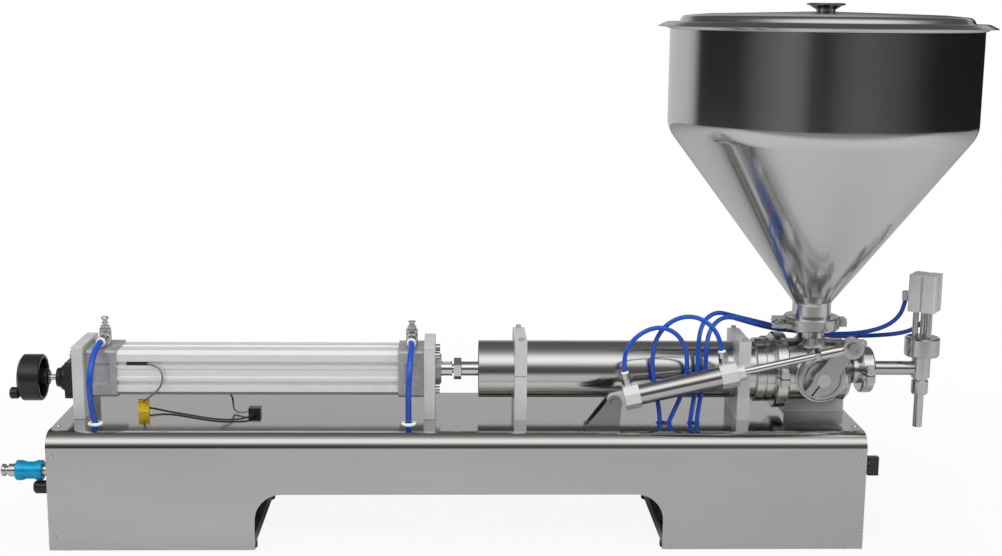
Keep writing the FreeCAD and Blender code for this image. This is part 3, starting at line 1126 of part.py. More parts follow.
def make_fittings():
    """Grommets, sensors, lead tag and plug, panel fittings and the control valve under the base top."""
    grommets = []
    for x, y, _ in HOSE_HOLES[:2]:
        grommets.append(put(turned("grommet", [
            (5.6, -2.9), (6.9, -2.9), (6.9, 0), (10, 0), (9.4, 1.4), (7.4, 2), (5.6, 2)]), (x, y, base_top)))
    node("hose_grommets", group("grommet_group", *grommets))

    slot_z = main_axis + 13
    face = -tube_size / 2
    rear_switch = box("rear_switch", (REAR_SWITCH_X, face + 0.8, slot_z - 2.2), (REAR_SWITCH_X + 28, face + 4.9, slot_z + 2.2))
    under = main_axis - tube_size / 2
    front_switch = box("front_switch", (FRONT_SWITCH_X, 13 - 2.2, under + 0.8),
                       (FRONT_SWITCH_X + 28, 13 + 2.2, under + 4.9))
    node("reed_switches", group("switch_group", rear_switch, front_switch))
    tag = box("tag", (TAG_X, TAG_Y - 1, base_top), (TAG_X + 14, TAG_Y + 3, base_top + 17))
    lead_path = box("tag_space", (TAG_X - 1, TAG_Y - 0.6, base_top + 1), (TAG_X + 15, TAG_Y + 2.6, base_top + 5))
    plug = box("plug", (PLUG_X, PLUG_Y - 7, base_top), (PLUG_X + 16, PLUG_Y + 7, base_top + 9))
    node("lead_tag", group("tag_group", cut("tag_cut", tag, lead_path), plug))

    outer = base_length / 2 - panel_inset
    nipple = put(turned("inlet_nipple", [
        (3, 0), (6.5, 0), (8.2, 1.5), (8.2, 5), (6, 6), (6, 9), (8.5, 10), (8.5, 18), (7.5, 18.7), (3, 18.7)]),
        (inlet_left, inlet_side, inlet_height), "x")
    core_tube = put(turned("inlet_core", ring_points(3, 7.5, 18.7, -outer - inlet_left + 8)),
                    (inlet_left, inlet_side, inlet_height), "x")
    locknut = prism("inlet_locknut", 6, 11, (-outer - 6, inlet_side, inlet_height), 6, "x")
    lock_bore = cylinder("locknut_bore", 3, (-outer - 8, inlet_side, inlet_height), 12, "x")
    inlet = cut("inlet_cut", fuse("inlet_fuse", nipple, core_tube, locknut), lock_bore)
    silencer = put(turned("silencer", [
        (0, 0), (6.5, 0), (8.7, 3), (8.7, 22), (7, 24), (7, 32), (5, 32), (5, 42), (0, 42)]),
        (-outer - 32, inlet_side, silencer_height), "x")
    bezel = put(turned("selector_bezel", [
        (5.05, -14), (11, -14), (11, 0), (14, 0), (14, 4), (11.5, 9), (5.05, 9)]),
        (outer, selector_side, selector_height), "x")
    node("panel_fittings", group("fitting_group", inlet, silencer, bezel))

    sleeve = turned("slide_sleeve_turned", [
        (7.5 + running_clearance, 0), (12.5, 0), (13.3, 1.5), (13.3, 7), (11.3, 14), (11.3, 22), (13.3, 28), (13.3, 33),
        (12.5, 34.5), (7.5 + running_clearance, 34.5)])
    node("slide_sleeve", sleeve, (inlet_left + 19.2, inlet_side, inlet_height), "x")

    spindle = cylinder("selector_spindle", 5, (-13, 0, 0), 22.3, "x")
    knob_round = cylinder("selector_round", 10.5, (9.3, 0, 0), 4, "x")
    knob_bar = box("selector_bar", (12, -4.5, -12.5), (26, 4.5, 12.5))
    knob = fuse("selector_fuse", spindle, knob_round, knob_bar)
    node("selector_knob", knob, (outer, selector_side, selector_height))

    # One air valve on the tray of each leg, its ports facing up to the hoses
    tray_top = tray_height + panel_wall
    valves = []
    for left, right, ports in AIR_VALVES:
        block = box("air_valve_block", (left, -74, tray_top), (right, -38, tray_top + 30))
        ends = [cylinder("air_valve_end", 11, (left, -56, tray_top + 15), 16, "-x"),
                cylinder("air_valve_end", 11, (right, -56, tray_top + 15), 16, "x")]
        sockets = [cylinder("air_valve_port", 6.5, (x, -56, tray_top + 30), height - tray_top.value - 30)
                   for x, height in ports]
        valves.append(fuse("air_valve", block, *ends, *sockets))
    node("control_valve", group("air_valve_group", *valves))


def make_cords():
    for name, (radius, points) in CORDS.items():
        node(name, tube_along(name + "_path", points, radius))


# Places that only small fittings follow
ROD_REACH = -10.6 - (air_piston_x + air_piston_length)
VALVE_STAND_LEFT, VALVE_STAND_RIGHT = 441, 521
NOZZLE_BODY_LOW, NOZZLE_BODY_TOP = 204, 260
CAP_LENGTH, BARREL_LENGTH = 20, 108
PORT_PLACES = (21, 150)
PORT_TOP = 32
PORT_ARM = 27
REAR_PORT_X = rear_cover_x + 20
FRONT_PORT_X = tube_right + 17.5
REAR_SWITCH_X, FRONT_SWITCH_X = -438, -350
TAG_X, TAG_Y = -429, -6
PLUG_X, PLUG_Y = -281, -14
AIR_VALVES = [(-490, -380, [(-472, 57), (-396, 45)]), (283, 342, [(290, 48), (325, 48)])]
HOSE_HOLES = [(-473, -62.5, 7), (-67, -62.5, 7), (269, -57.5, 11), (308, -57.5, 9)]
PANEL_HOLES = {
    "left_panel": [(inlet_side, inlet_height, 7.55), (inlet_side, silencer_height, 5.05)],
    "right_panel": [(selector_side, selector_height, 11.05)],
}

# Routes of the hoses and leads, end to end
CORDS = {
    "rear_cylinder_hose": (cylinder_hose_radius, [
        (-471, -27.4, 256), (-472, -47, 252), (-474, -65, 240), (-475, -75, 220), (-476, -76, 198),
        (-475, -70, 177), (-473, -63, 157), (-472, -59, 136), (-473, -57, 96), (-472, -56, 57)]),
    "front_cylinder_hose": (cylinder_hose_radius, [
        (-64, -27.4, 256), (-64, -47, 252), (-65, -65, 240), (-66, -75, 220), (-67, -76, 198),
        (-67, -70, 177), (-67, -63, 157), (-69, -59, 136), (-78, -59, 114), (-96, -59, 98),
        (-120, -59, 91), (-166, -58, 92), (-223, -57, 94), (-275, -57, 97), (-322, -56, 101),
        (-358, -56, 102), (-375, -56, 95), (-389, -56, 82), (-396, -56, 64), (-396, -56, 45)]),
    "valve_hose_rear": (hose_radius, [
        (213.8, -72, 226.2), (211.5, -72, 245), (219, -71, 266), (238, -69, 282), (260, -66, 287),
        (281, -62, 278), (294, -58, 259), (298, -54, 236), (297, -52, 213), (291, -53, 191),
        (282, -55, 171), (273, -57, 152), (269, -58, 133)]),
    "valve_hose_front": (hose_radius, [
        (339.6, -72, 254.8), (337, -71, 271), (326, -69, 289), (307, -65, 300), (286, -61, 299),
        (267, -57, 287), (255, -54, 267), (252, -51, 244), (253, -50, 221), (257, -51, 198),
        (262, -54, 176), (264, -56, 154), (262, -57, 134)]),
    "nozzle_hose_upper": (hose_radius, [
        (603, 14, 308), (601, 15, 294), (594, 18, 281), (583, 24, 270), (567, 31, 262), (548, 40, 256),
        (526, 48, 253), (502, 53, 252), (478, 54, 254), (456, 47, 258), (436, 36, 262), (416, 23, 268),
        (397, 10, 275), (377, -4, 283), (356, -17, 291), (338, -30, 287), (326, -42, 272),
        (323, -50, 250), (322, -53, 227), (319, -54, 203), (315, -55, 180), (312, -57, 157),
        (314, -57, 133), (319, -56, 104), (323, -56, 76), (325, -56, 48)]),
    "nozzle_hose_lower": (hose_radius, [
        (639, 22, 300), (637, 22, 286), (630, 24, 273), (617, 28, 262), (598, 35, 256), (576, 46, 251.5),
        (554, 58, 248), (532, 64, 246), (508, 66, 247), (484, 64, 250.5), (461, 57, 256), (440, 45, 263),
        (420, 33, 270), (400, 20, 277), (382, 8, 283), (362, -4, 290), (341, -17, 297), (323, -31, 290),
        (314, -44, 273), (312, -50, 250), (312, -53, 226), (310, -55, 202), (306, -57, 178),
        (303, -57, 154), (301, -57, 130), (297, -56, 103), (292, -56, 76), (290, -56, 48)]),
    "sensor_lead_rear": (lead_radius, [
        (-410, -32, 228), (-398, -34, 226), (-390, -37, 217), (-390, -38, 204), (-397, -36, 192),
        (-408, -30, 183), (-418, -22, 175), (-422, -7.4, 170)]),
    "sensor_lead_long": (lead_radius, [
        (-415, -5, 161), (-402, -6, 159), (-385, -12, 157), (-362, -24, 157), (-337, -39, 157),
        (-313, -49, 157), (-293, -49, 157), (-280, -43, 158), (-274, -32, 159), (-273, -21, 160)]),
    "sensor_lead_front": (lead_radius, [
        (-322, 13, 182), (-311, 12, 179), (-305, 8, 170), (-304, -1, 162), (-299, -12, 158),
        (-291, -20, 158), (-281, -19, 160)]),
}

make_base()
make_plates()
make_air_cylinder()
make_adjuster()
make_material_cylinder()
make_clamps()
make_valve()
make_valve_cylinder()
make_hopper()
make_nozzle()
make_speed_controllers()
make_fittings()
make_cords()

doc.recompute()

for thing in doc.Objects:
    if "Invalid" in thing.State or "Error" in thing.State:
        raise RuntimeError(f"{thing.Name} failed: {thing.State}")

os.makedirs("parts", exist_ok=True)
triangles = 0
for thing in nodes:
    shape = thing.Shape
    if shape.isNull() or not shape.isValid() or not shape.Solids:
        raise RuntimeError(f"{thing.Label} has no valid solid")
    shape.exportStep(f"parts/{thing.Label}.step")
    facets = len(shape.tessellate(0.2)[1])
    triangles += facets
    bounds = shape.BoundBox
    print(f"{thing.Label:22s} solids {len(shape.Solids):2d} facets {facets:5d} "
          f"x {bounds.XMin:8.1f} {bounds.XMax:8.1f} y {bounds.YMin:7.1f} {bounds.YMax:7.1f} "
          f"z {bounds.ZMin:7.1f} {bounds.ZMax:7.1f}")
print(len(nodes), "nodes,", triangles, "facets")
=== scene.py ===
import json
import math

import bmesh
import bpy
import numpy as np
from mathutils import Matrix, Vector

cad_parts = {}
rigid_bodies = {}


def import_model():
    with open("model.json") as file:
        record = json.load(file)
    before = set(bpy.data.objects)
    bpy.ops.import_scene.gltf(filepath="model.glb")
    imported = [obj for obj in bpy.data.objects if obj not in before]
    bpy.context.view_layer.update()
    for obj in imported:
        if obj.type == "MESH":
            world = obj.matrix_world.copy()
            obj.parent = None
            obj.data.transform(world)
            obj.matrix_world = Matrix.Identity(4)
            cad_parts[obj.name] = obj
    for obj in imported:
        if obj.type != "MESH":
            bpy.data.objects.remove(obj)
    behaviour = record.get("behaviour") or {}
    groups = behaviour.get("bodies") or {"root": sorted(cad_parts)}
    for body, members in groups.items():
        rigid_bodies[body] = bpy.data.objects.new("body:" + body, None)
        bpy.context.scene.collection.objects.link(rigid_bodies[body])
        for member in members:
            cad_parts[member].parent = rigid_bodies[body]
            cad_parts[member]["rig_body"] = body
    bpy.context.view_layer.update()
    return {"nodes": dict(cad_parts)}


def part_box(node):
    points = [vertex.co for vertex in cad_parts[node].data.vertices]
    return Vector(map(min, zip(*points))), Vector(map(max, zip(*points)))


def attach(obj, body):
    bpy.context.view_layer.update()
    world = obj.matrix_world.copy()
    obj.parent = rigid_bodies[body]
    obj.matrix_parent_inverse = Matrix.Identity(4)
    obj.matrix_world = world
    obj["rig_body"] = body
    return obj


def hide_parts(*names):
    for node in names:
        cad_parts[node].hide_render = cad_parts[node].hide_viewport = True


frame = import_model()


# Camera
# A normal lens two metres in front of the machine, a little above its middle and looking slightly down.
camera = bpy.data.objects.new("camera", bpy.data.cameras.new("camera"))
bpy.context.scene.collection.objects.link(camera)
bpy.context.scene.camera = camera
camera.data.sensor_width = 36
camera.data.lens = 53.27
camera_place = (-0.057666, -1.939226, 0.688731)
camera_pitch, camera_yaw, camera_roll = (math.radians(angle) for angle in (10.23895, 1.953949, 0.582185))
forward = Vector((math.sin(camera_yaw), math.cos(camera_yaw), 0))
ahead = forward * math.cos(camera_pitch) - Vector((0, 0, math.sin(camera_pitch)))
level = Vector((math.cos(camera_yaw), -math.sin(camera_yaw), 0))
upright = level.cross(ahead)
sideways = level * math.cos(camera_roll) + upright * math.sin(camera_roll)
upright = upright * math.cos(camera_roll) - level * math.sin(camera_roll)
camera_turn = Matrix((sideways, upright, -ahead)).transposed()
camera.matrix_world = Matrix.Translation(camera_place) @ camera_turn.to_4x4()


# Studio
# A pale floor that fades into white, three soft lamps, and a room of light and dark screens
# that draws the long bands in the polished steel.
class Wire:
    """A socket of a node tree. Sums and products of wires and numbers become Math nodes."""

    def __init__(self, tree, socket):
        self.tree = tree
        self.socket = socket

    def math(self, operation, first, second):
        return self.tree.node("ShaderNodeMath", {"operation": operation}, {0: first, 1: second})

    def __add__(self, other):
        return self.math("ADD", self, other)

    def __sub__(self, other):
        return self.math("SUBTRACT", self, other)

    def __rsub__(self, other):
        return self.math("SUBTRACT", other, self)

    def __mul__(self, other):
        return self.math("MULTIPLY", self, other)

    __radd__ = __add__
    __rmul__ = __mul__

    def fade(self, start, end):
        """0 before start and 1 after end, with a soft change between them."""
        return self.tree.node("ShaderNodeMapRange", {"interpolation_type": "SMOOTHSTEP"},
                              {"Value": self, "From Min": start, "From Max": end})


class NodeTree:
    """A tree of nodes, built one node at a time."""

    def __init__(self, tree):
        self.tree = tree

    def node(self, kind, settings=None, values=None, output=0):
        """One node: its settings first, then the values or wires of its sockets."""
        made = self.tree.nodes.new(kind)
        for key, value in (settings or {}).items():
            if key == "stops":
                while len(made.color_ramp.elements) < len(value):
                    made.color_ramp.elements.new(0.5)
                for element, (position, shade) in zip(made.color_ramp.elements, value):
                    element.position = position
                    element.color = (shade, shade, shade, 1)
            else:
                setattr(made, key, value)
        for key, value in (values or {}).items():
            self.feed(made.inputs[key], value)
        return Wire(self, made.outputs[output])

    def feed(self, socket, value):
        if isinstance(value, Wire):
            self.tree.links.new(value.socket, socket)
        else:
            socket.default_value = value

    def part(self, vector, index):
        """One of a vector's three numbers."""
        return self.node("ShaderNodeSeparateXYZ", None, {0: vector}, index)

    def mix(self, share, first, second):
        """A blend of two colours."""
        first, second = ((*colour, 1) if isinstance(colour, tuple) else colour for colour in (first, second))
        return self.node("ShaderNodeMix", {"data_type": "RGBA"}, {0: share, 6: first, 7: second}, 2)


bpy.context.scene.view_settings.view_transform = "Standard"
studio = bpy.data.worlds.new("studio")
bpy.context.scene.world = studio
studio.use_nodes = True
sky = NodeTree(studio.node_tree)
direction = sky.node("ShaderNodeTexCoord", output="Generated")
sky_x, sky_y, sky_z = (sky.part(direction, index) for index in range(3))


def sky_bands(angle, bands):
    """Brightness by an angle in degrees: rows of angle and brightness from -180 to 180."""
    return sky.node("ShaderNodeValToRGB", {"stops": [((at + 180) / 360, glow) for at, glow in bands]},
                    {0: angle * (1 / math.tau) + 0.5})


# Over the machine: 0 is the horizon in front, 90 is straight up and 180 is the horizon behind.
over = sky_bands(sky.node("ShaderNodeMath", {"operation": "ARCTAN2"}, {0: sky_z, 1: 0 - sky_y}), [
    (-180, 0.45), (-90, 0.40), (-5, 0.30), (6, 0.20), (12, 0.12), (20, 0.13), (31, 0.75), (40, 1.25),
    (52, 1.38), (65, 1.05), (78, 0.50), (92, 0.24), (110, 0.15), (143, 0.12), (156, 0.16), (162, 0.52),
    (180, 0.58)])
# Along the horizon: 0 is in front, 90 on the right and 180 behind.
around = sky_bands(sky.node("ShaderNodeMath", {"operation": "ARCTAN2"}, {0: sky_x, 1: 0 - sky_y}), [
    (-180, 0.60), (-132, 0.56), (-123, 0.42), (-115, 0.025), (-77, 0.02), (-56, 0.11), (-38, 0.16),
    (-28, 0.135), (-21, 0.05), (-12, 0.035), (0, 0.08), (15, 0.105), (45, 0.065), (62, 0.027),
    (76, 0.012), (158, 0.012), (174, 0.40), (180, 0.60)])
low = 1 - sky.node("ShaderNodeMath", {"operation": "ABSOLUTE"}, {0: sky_z}).fade(0.10, 0.26)
glow = sky.mix(low, over, around)
seen = sky.node("ShaderNodeLightPath", output="Is Camera Ray")
background = studio.node_tree.nodes["Background"]
sky.feed(background.inputs["Color"], sky.mix(seen, glow, (1.0, 1.0, 1.0)))

floor_mesh = bpy.data.meshes.new("floor")
floor_mesh.from_pydata([(-4, -2.6, 0), (4, -2.6, 0), (4, 4, 0), (-4, 4, 0)], [], [(0, 1, 2, 3)])
floor = bpy.data.objects.new("floor", floor_mesh)
bpy.context.scene.collection.objects.link(floor)
floor_material = bpy.data.materials.new("pale_floor")
floor_material.use_nodes = True
floor_tree = NodeTree(floor_material.node_tree)
floor_spot = floor_tree.node("ShaderNodeTexCoord", output="Object")
away = floor_tree.node("ShaderNodeVectorMath", {"operation": "LENGTH"}, {0: floor_spot}, "Value")
# The floor's colour turns dark far in front of the machine: painted shade that only the steel's reflections
# see, since camera rays see the floor there nearly white.
painted_shade_in_front = floor_tree.part(floor_spot, 1).fade(-1.5, -0.7)
diffuse = floor_tree.node("ShaderNodeBsdfDiffuse", None, {
    "Color": floor_tree.mix(painted_shade_in_front, (0.22, 0.22, 0.22), (0.52, 0.52, 0.52))})
white = floor_tree.node("ShaderNodeEmission", None, {"Color": (1, 1, 1, 1), "Strength": 1.0})
camera_ray = floor_tree.node("ShaderNodeLightPath", output="Is Camera Ray")
share = camera_ray * (away.fade(0.4, 1.4) * 0.08 + 0.92)
shown = floor_tree.node("ShaderNodeMixShader", None, {0: share, 1: diffuse, 2: white})
floor_tree.feed(floor_material.node_tree.nodes["Material Output"].inputs["Surface"], shown)
floor_mesh.materials.append(floor_material)

lamp_aim = Vector((0, 0, 0.25))
for lamp_name, spot, size, watts in (
        ("key_light", (-1.4, -2.2, 2.4), 1.8, 56),
        ("fill_light", (1.9, -1.6, 1.6), 1.4, 26),
        ("top_light", (0.0, 0.4, 2.6), 1.8, 24)):
    lamp = bpy.data.objects.new(lamp_name, bpy.data.lights.new(lamp_name, "AREA"))
    bpy.context.scene.collection.objects.link(lamp)
    lamp.data.size = size
    lamp.data.energy = watts
    lamp.location = spot
    lamp.rotation_euler = (lamp_aim - Vector(spot)).to_track_quat("-Z", "Y").to_euler()
    lamp.visible_glossy = False


# Air hoses and sensor leads
# Blue polyurethane tube pushed into the fittings, and thin PVC leads of the two cylinder switches.
# The hoses go down through grommets in the base top to the control valve inside.
class Finish(NodeTree):
    """A surface of the machine: a Principled shader fed by wires."""

    def __init__(self, name, slot, colour=(0.6, 0.6, 0.6), metallic=0.0, roughness=0.5, **constants):
        self.slot = slot
        self.material = bpy.data.materials.new(name)
        self.material.use_nodes = True
        super().__init__(self.material.node_tree)
        self.shader = self.tree.nodes["Principled BSDF"]
        self.set("Base Color", (*colour, 1))
        self.set("Metallic", metallic)
        self.set("Roughness", roughness)
        for key, value in constants.items():
            self.set(key.replace("_", " ").title(), value)

    def set(self, socket, value):
        self.feed(self.shader.inputs[socket], value)

    def where(self, stretch):
        """Object coordinates in metres, stretched per axis."""
        spot = self.node("ShaderNodeTexCoord", output="Object")
        return self.node("ShaderNodeMapping", None, {"Vector": spot, "Scale": stretch})

    def axis(self, index):
        """One object coordinate in metres."""
        return self.part(self.node("ShaderNodeTexCoord", output="Object"), index)

    def grain(self, stretch, detail=2.0, roughness=0.5):
        """Noise from 0 to 1 with about `stretch` spots per metre on each axis."""
        return self.node("ShaderNodeTexNoise", None, {
            "Vector": self.where(stretch), "Scale": 1.0, "Detail": detail, "Roughness": roughness})

    def bump(self, height, strength, distance):
        self.set("Normal", self.node("ShaderNodeBump", None, {
            "Height": height, "Strength": strength, "Distance": distance}))


def hose_finish(name, slot, colour, deep, roughness):
    """Soft extruded plastic: slightly uneven colour, faint dull patches and a smooth skin."""
    made = Finish(name, slot, colour, roughness=roughness, coat_weight=0.25, coat_roughness=0.12)
    patches = made.grain((90, 90, 90), 3)
    made.set("Base Color", made.mix(patches, colour, deep))
    made.set("Roughness", patches * 0.12 + (roughness - 0.06))
    made.bump(made.grain((500, 500, 500)), 0.06, 0.0004)
    return made


blue_hose = hose_finish("blue_hose", "blue_hose", (0.011, 0.085, 0.50), (0.007, 0.055, 0.36), 0.24)
grey_lead = hose_finish("grey_lead", "grey_lead", (0.19, 0.19, 0.20), (0.13, 0.13, 0.14), 0.42)
dark_lead = hose_finish("dark_lead", "grey_lead", (0.025, 0.025, 0.028), (0.015, 0.015, 0.017), 0.38)

hose_routes = {
    "rear_cylinder_hose": ("machine", blue_hose, 0.004, 0.229, [
        (-.5165, -.0274, .256), (-.5175, -.047, .252), (-.5195, -.065, .24), (-.5205, -.075, .22),
        (-.5215, -.076, .198), (-.5205, -.07, .177), (-.5185, -.063, .157), (-.5175, -.059, .136),
        (-.5185, -.057, .096), (-.5175, -.056, .057)]),
    "front_cylinder_hose": ("machine", blue_hose, 0.004, 0.534, [
        (-.1095, -.0274, .256), (-.1095, -.047, .252), (-.1105, -.065, .24), (-.1115, -.075, .22),
        (-.1125, -.076, .198), (-.1125, -.07, .177), (-.1125, -.063, .157), (-.1145, -.059, .136),
        (-.1235, -.059, .114), (-.1415, -.059, .098), (-.1655, -.059, .091), (-.2115, -.058, .092),
        (-.2685, -.057, .094), (-.3205, -.057, .097), (-.3675, -.056, .101), (-.4035, -.056, .102),
        (-.4205, -.056, .095), (-.4345, -.056, .082), (-.4415, -.056, .064), (-.4415, -.056, .045)]),
    "valve_hose_rear": ("link_cylinder", blue_hose, 0.003, 0.265, [
        (.1683, -.072, .2262), (.166, -.072, .245), (.1735, -.071, .266), (.1925, -.069, .282),
        (.2145, -.066, .287), (.2355, -.062, .278), (.2485, -.058, .259), (.2525, -.054, .236),
        (.2515, -.052, .213), (.2455, -.053, .191), (.2365, -.055, .171), (.2275, -.057, .152),
        (.2235, -.058, .133)]),
    "valve_hose_front": ("link_cylinder", blue_hose, 0.003, 0.260, [
        (.2941, -.072, .2548), (.2915, -.071, .271), (.2805, -.069, .289), (.2615, -.065, .3),
        (.2405, -.061, .299), (.2215, -.057, .287), (.2095, -.054, .267), (.2065, -.051, .244),
        (.2075, -.05, .221), (.2115, -.051, .198), (.2165, -.054, .176), (.2185, -.056, .154),
        (.2165, -.057, .134)]),
    "nozzle_hose_upper": ("machine", blue_hose, 0.003, 0.576, [
        (.5575, .014, .308), (.5555, .015, .294), (.5485, .018, .281), (.5375, .024, .27),
        (.5215, .031, .262), (.5025, .04, .256), (.4805, .048, .253), (.4565, .053, .252),
        (.4325, .054, .254), (.4105, .047, .258), (.3905, .036, .262), (.3705, .023, .268),
        (.3515, .01, .275), (.3315, -.004, .283), (.3105, -.017, .291), (.2925, -.03, .287),
        (.2805, -.042, .272), (.2775, -.05, .25), (.2765, -.053, .227), (.2735, -.054, .203),
        (.2695, -.055, .18), (.2665, -.057, .157), (.2685, -.057, .133), (.2735, -.056, .104),
        (.2775, -.056, .076), (.2795, -.056, .048)]),
    "nozzle_hose_lower": ("machine", blue_hose, 0.003, 0.631, [
        (.5935, .022, .3), (.5915, .022, .286), (.5845, .024, .273), (.5715, .028, .262),
        (.5525, .035, .256), (.5305, .046, .2515), (.5085, .058, .248), (.4865, .064, .246),
        (.4625, .066, .247), (.4385, .064, .2505), (.4155, .057, .256), (.3945, .045, .263),
        (.3745, .033, .27), (.3545, .02, .277), (.3365, .008, .283), (.3165, -.004, .29),
        (.2955, -.017, .297), (.2775, -.031, .29), (.2685, -.044, .273), (.2665, -.05, .25),
        (.2665, -.053, .226), (.2645, -.055, .202), (.2605, -.057, .178), (.2575, -.057, .154),
        (.2555, -.057, .13), (.2515, -.056, .103), (.2465, -.056, .076), (.2445, -.056, .048)]),
    "sensor_lead_rear": ("machine", grey_lead, 0.00125, 0.096, [
        (-.4555, -.032, .228), (-.4435, -.034, .226), (-.4355, -.037, .217), (-.4355, -.038, .204),
        (-.4425, -.036, .192), (-.4535, -.03, .183), (-.4635, -.022, .175), (-.4675, -.0074, .17)]),
    "sensor_lead_long": ("machine", dark_lead, 0.00125, 0.169, [
        (-.4605, -.005, .161), (-.4475, -.006, .159), (-.4305, -.012, .157), (-.4075, -.024, .157),
        (-.3825, -.039, .157), (-.3585, -.049, .157), (-.3385, -.049, .157), (-.3255, -.043, .158),
        (-.3195, -.032, .159), (-.3185, -.021, .16)]),
    "sensor_lead_front": ("machine", grey_lead, 0.00125, 0.068, [
        (-.3675, .013, .182), (-.3565, .012, .179), (-.3505, .008, .17), (-.3495, -.001, .162),
        (-.3445, -.012, .158), (-.3365, -.02, .158), (-.3265, -.019, .16)]),
}
for node_name, (body, finish, radius, length, points) in hose_routes.items():
    line = bpy.data.curves.new(node_name + "_line", "CURVE")
    line.dimensions = "3D"
    spline = line.splines.new("NURBS")
    spline.points.add(len(points) - 1)
    for control, point in zip(spline.points, points):
        control.co = (*point, 1)
    spline.order_u = 3
    spline.use_endpoint_u = True
    line.resolution_u = 10
    line.bevel_depth = radius
    line.bevel_resolution = 5
    line.use_fill_caps = True
    hose = bpy.data.objects.new(node_name + "_line", line)
    bpy.context.scene.collection.objects.link(hose)
    line.materials.append(finish.material)
    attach(hose, body)
    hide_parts(node_name)
    2 * radius
    "hanging" if radius > 0.002 else "loose"


# Base
# A channel bent from satin stainless sheet with an arch cut into each skirt, closed by an end panel at
# each end. The top keeps its mirror polish, and the skirts are brushed along their length.
def welded(node_name):
    """The node's triangles joined into one surface with its flat faces whole again."""
    source = frame["nodes"][node_name].data
    spots = np.empty(len(source.vertices) * 3)
    source.vertices.foreach_get("co", spots)
    spots = spots.reshape(-1, 3)
    triangles = np.empty(len(source.polygons) * 3, int)
    source.polygons.foreach_get("vertices", triangles)
    _, first, joined = np.unique(np.round(spots, 6), axis=0, return_index=True, return_inverse=True)
    faces = joined.ravel()[triangles].reshape(-1, 3)
    faces = [tuple(int(i) for i in face) for face in faces if len(set(face)) == 3]
    mesh = bpy.data.meshes.new(node_name + "_welded")
    mesh.from_pydata([tuple(spots[i]) for i in first], [], faces)
    work = bmesh.new()
    work.from_mesh(mesh)
    bmesh.ops.dissolve_limit(work, angle_limit=math.radians(0.3), verts=work.verts, edges=work.edges)
    work.to_mesh(mesh)
    work.free()
    return mesh


def shown_piece(name, mesh, body, finishes, nodes=(), ease=0.0, choose=None):
    """A finished piece: smooth faces, edges eased by some metres and its finish, in place of its nodes.

    Of several finishes, `choose` gives the number of the one for a face by the face's middle.
    """
    finishes = [finishes] if isinstance(finishes, Finish) else list(finishes)
    piece = bpy.data.objects.new(name, mesh)
    bpy.context.scene.collection.objects.link(piece)
    mesh.shade_smooth()
    mesh.set_sharp_from_angle(angle=math.radians(32))
    if ease:
        edge = piece.modifiers.new("ease", "BEVEL")
        edge.width = ease
        edge.segments = 2
        edge.limit_method = "ANGLE"
        edge.angle_limit = math.radians(50)
    weighted = piece.modifiers.new("even", "WEIGHTED_NORMAL")
    weighted.keep_sharp = True
    settled = bpy.data.meshes.new_from_object(piece.evaluated_get(bpy.context.evaluated_depsgraph_get()))
    piece.modifiers.clear()
    piece.data = settled
    settled.materials.clear()
    for finish in finishes:
        settled.materials.append(finish.material)
    if choose:
        for face in settled.polygons:
            face.material_index = choose(face.center)
    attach(piece, body)
    if nodes:
        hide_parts(*nodes)


def dressed(node_name, finishes, ease=0.0, choose=None):
    """A node with the same shape, welded, eased and given its finish."""
    body = frame["nodes"][node_name]["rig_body"]
    shown_piece(node_name + "_made", welded(node_name), body, finishes, (node_name,), ease, choose)


satin_steel = Finish("satin_steel", "stainless_brushed", metallic=1.0)
brush = satin_steel.grain((6, 900, 900), 3, 0.6)
cloudy = satin_steel.grain((4, 9, 9), 3)
fold_starts, fold_ends = 0.1335, 0.1375
polished_top = satin_steel.axis(2).fade(fold_starts, fold_ends)
brushed_side = brush * 0.16 + cloudy * 0.10 + 0.20
glossy_top = cloudy * 0.05 + 0.09
satin_steel.set("Roughness", (1 - polished_top) * brushed_side + polished_top * glossy_top)
# Brush and cloud noise vary the tone at random; on top of that the polished top is painted darker, painted
# shade standing in for its darker reflections.
grain_and_painted_top_shade = brush * 0.5 + cloudy * 0.3 + polished_top * 0.4
satin_steel.set("Base Color", satin_steel.mix(grain_and_painted_top_shade, (0.68, 0.67, 0.655), (0.54, 0.53, 0.515)))
satin_steel.bump((1 - polished_top) * brush, 0.12, 0.00012)
dressed("base_channel", satin_steel, ease=0.0004)

panel_steel = Finish("panel_steel", "stainless_brushed", (0.58, 0.575, 0.56), 1.0, 0.3)
brush = panel_steel.grain((900, 6, 900), 3, 0.6)
panel_steel.set("Roughness", brush * 0.2 + 0.24)
panel_steel.bump(brush, 0.1, 0.0001)
dressed("end_panels", panel_steel, ease=0.0003)


# Feet and panel screws
# Moulded rubber pads under the corners, and small slotted screws that hold the end panels to the skirts
# and the top.
black_rubber = Finish("black_rubber", "black_rubber", (0.022, 0.022, 0.022), 0.0, 0.7)
black_rubber.set("Roughness", black_rubber.grain((300, 300, 300), 3) * 0.25 + 0.55)
black_rubber.bump(black_rubber.grain((1500, 1500, 1500)), 0.15, 0.0003)
dressed("rubber_feet", black_rubber, ease=0.0008)

bright_fitting = Finish("bright_fitting", "bright_fittings", (0.70, 0.70, 0.68), 1.0, 0.16)
scuffs = bright_fitting.grain((350, 350, 350), 4)
bright_fitting.set("Roughness", scuffs * 0.16 + 0.10)
bright_fitting.bump(scuffs, 0.05, 0.0002)


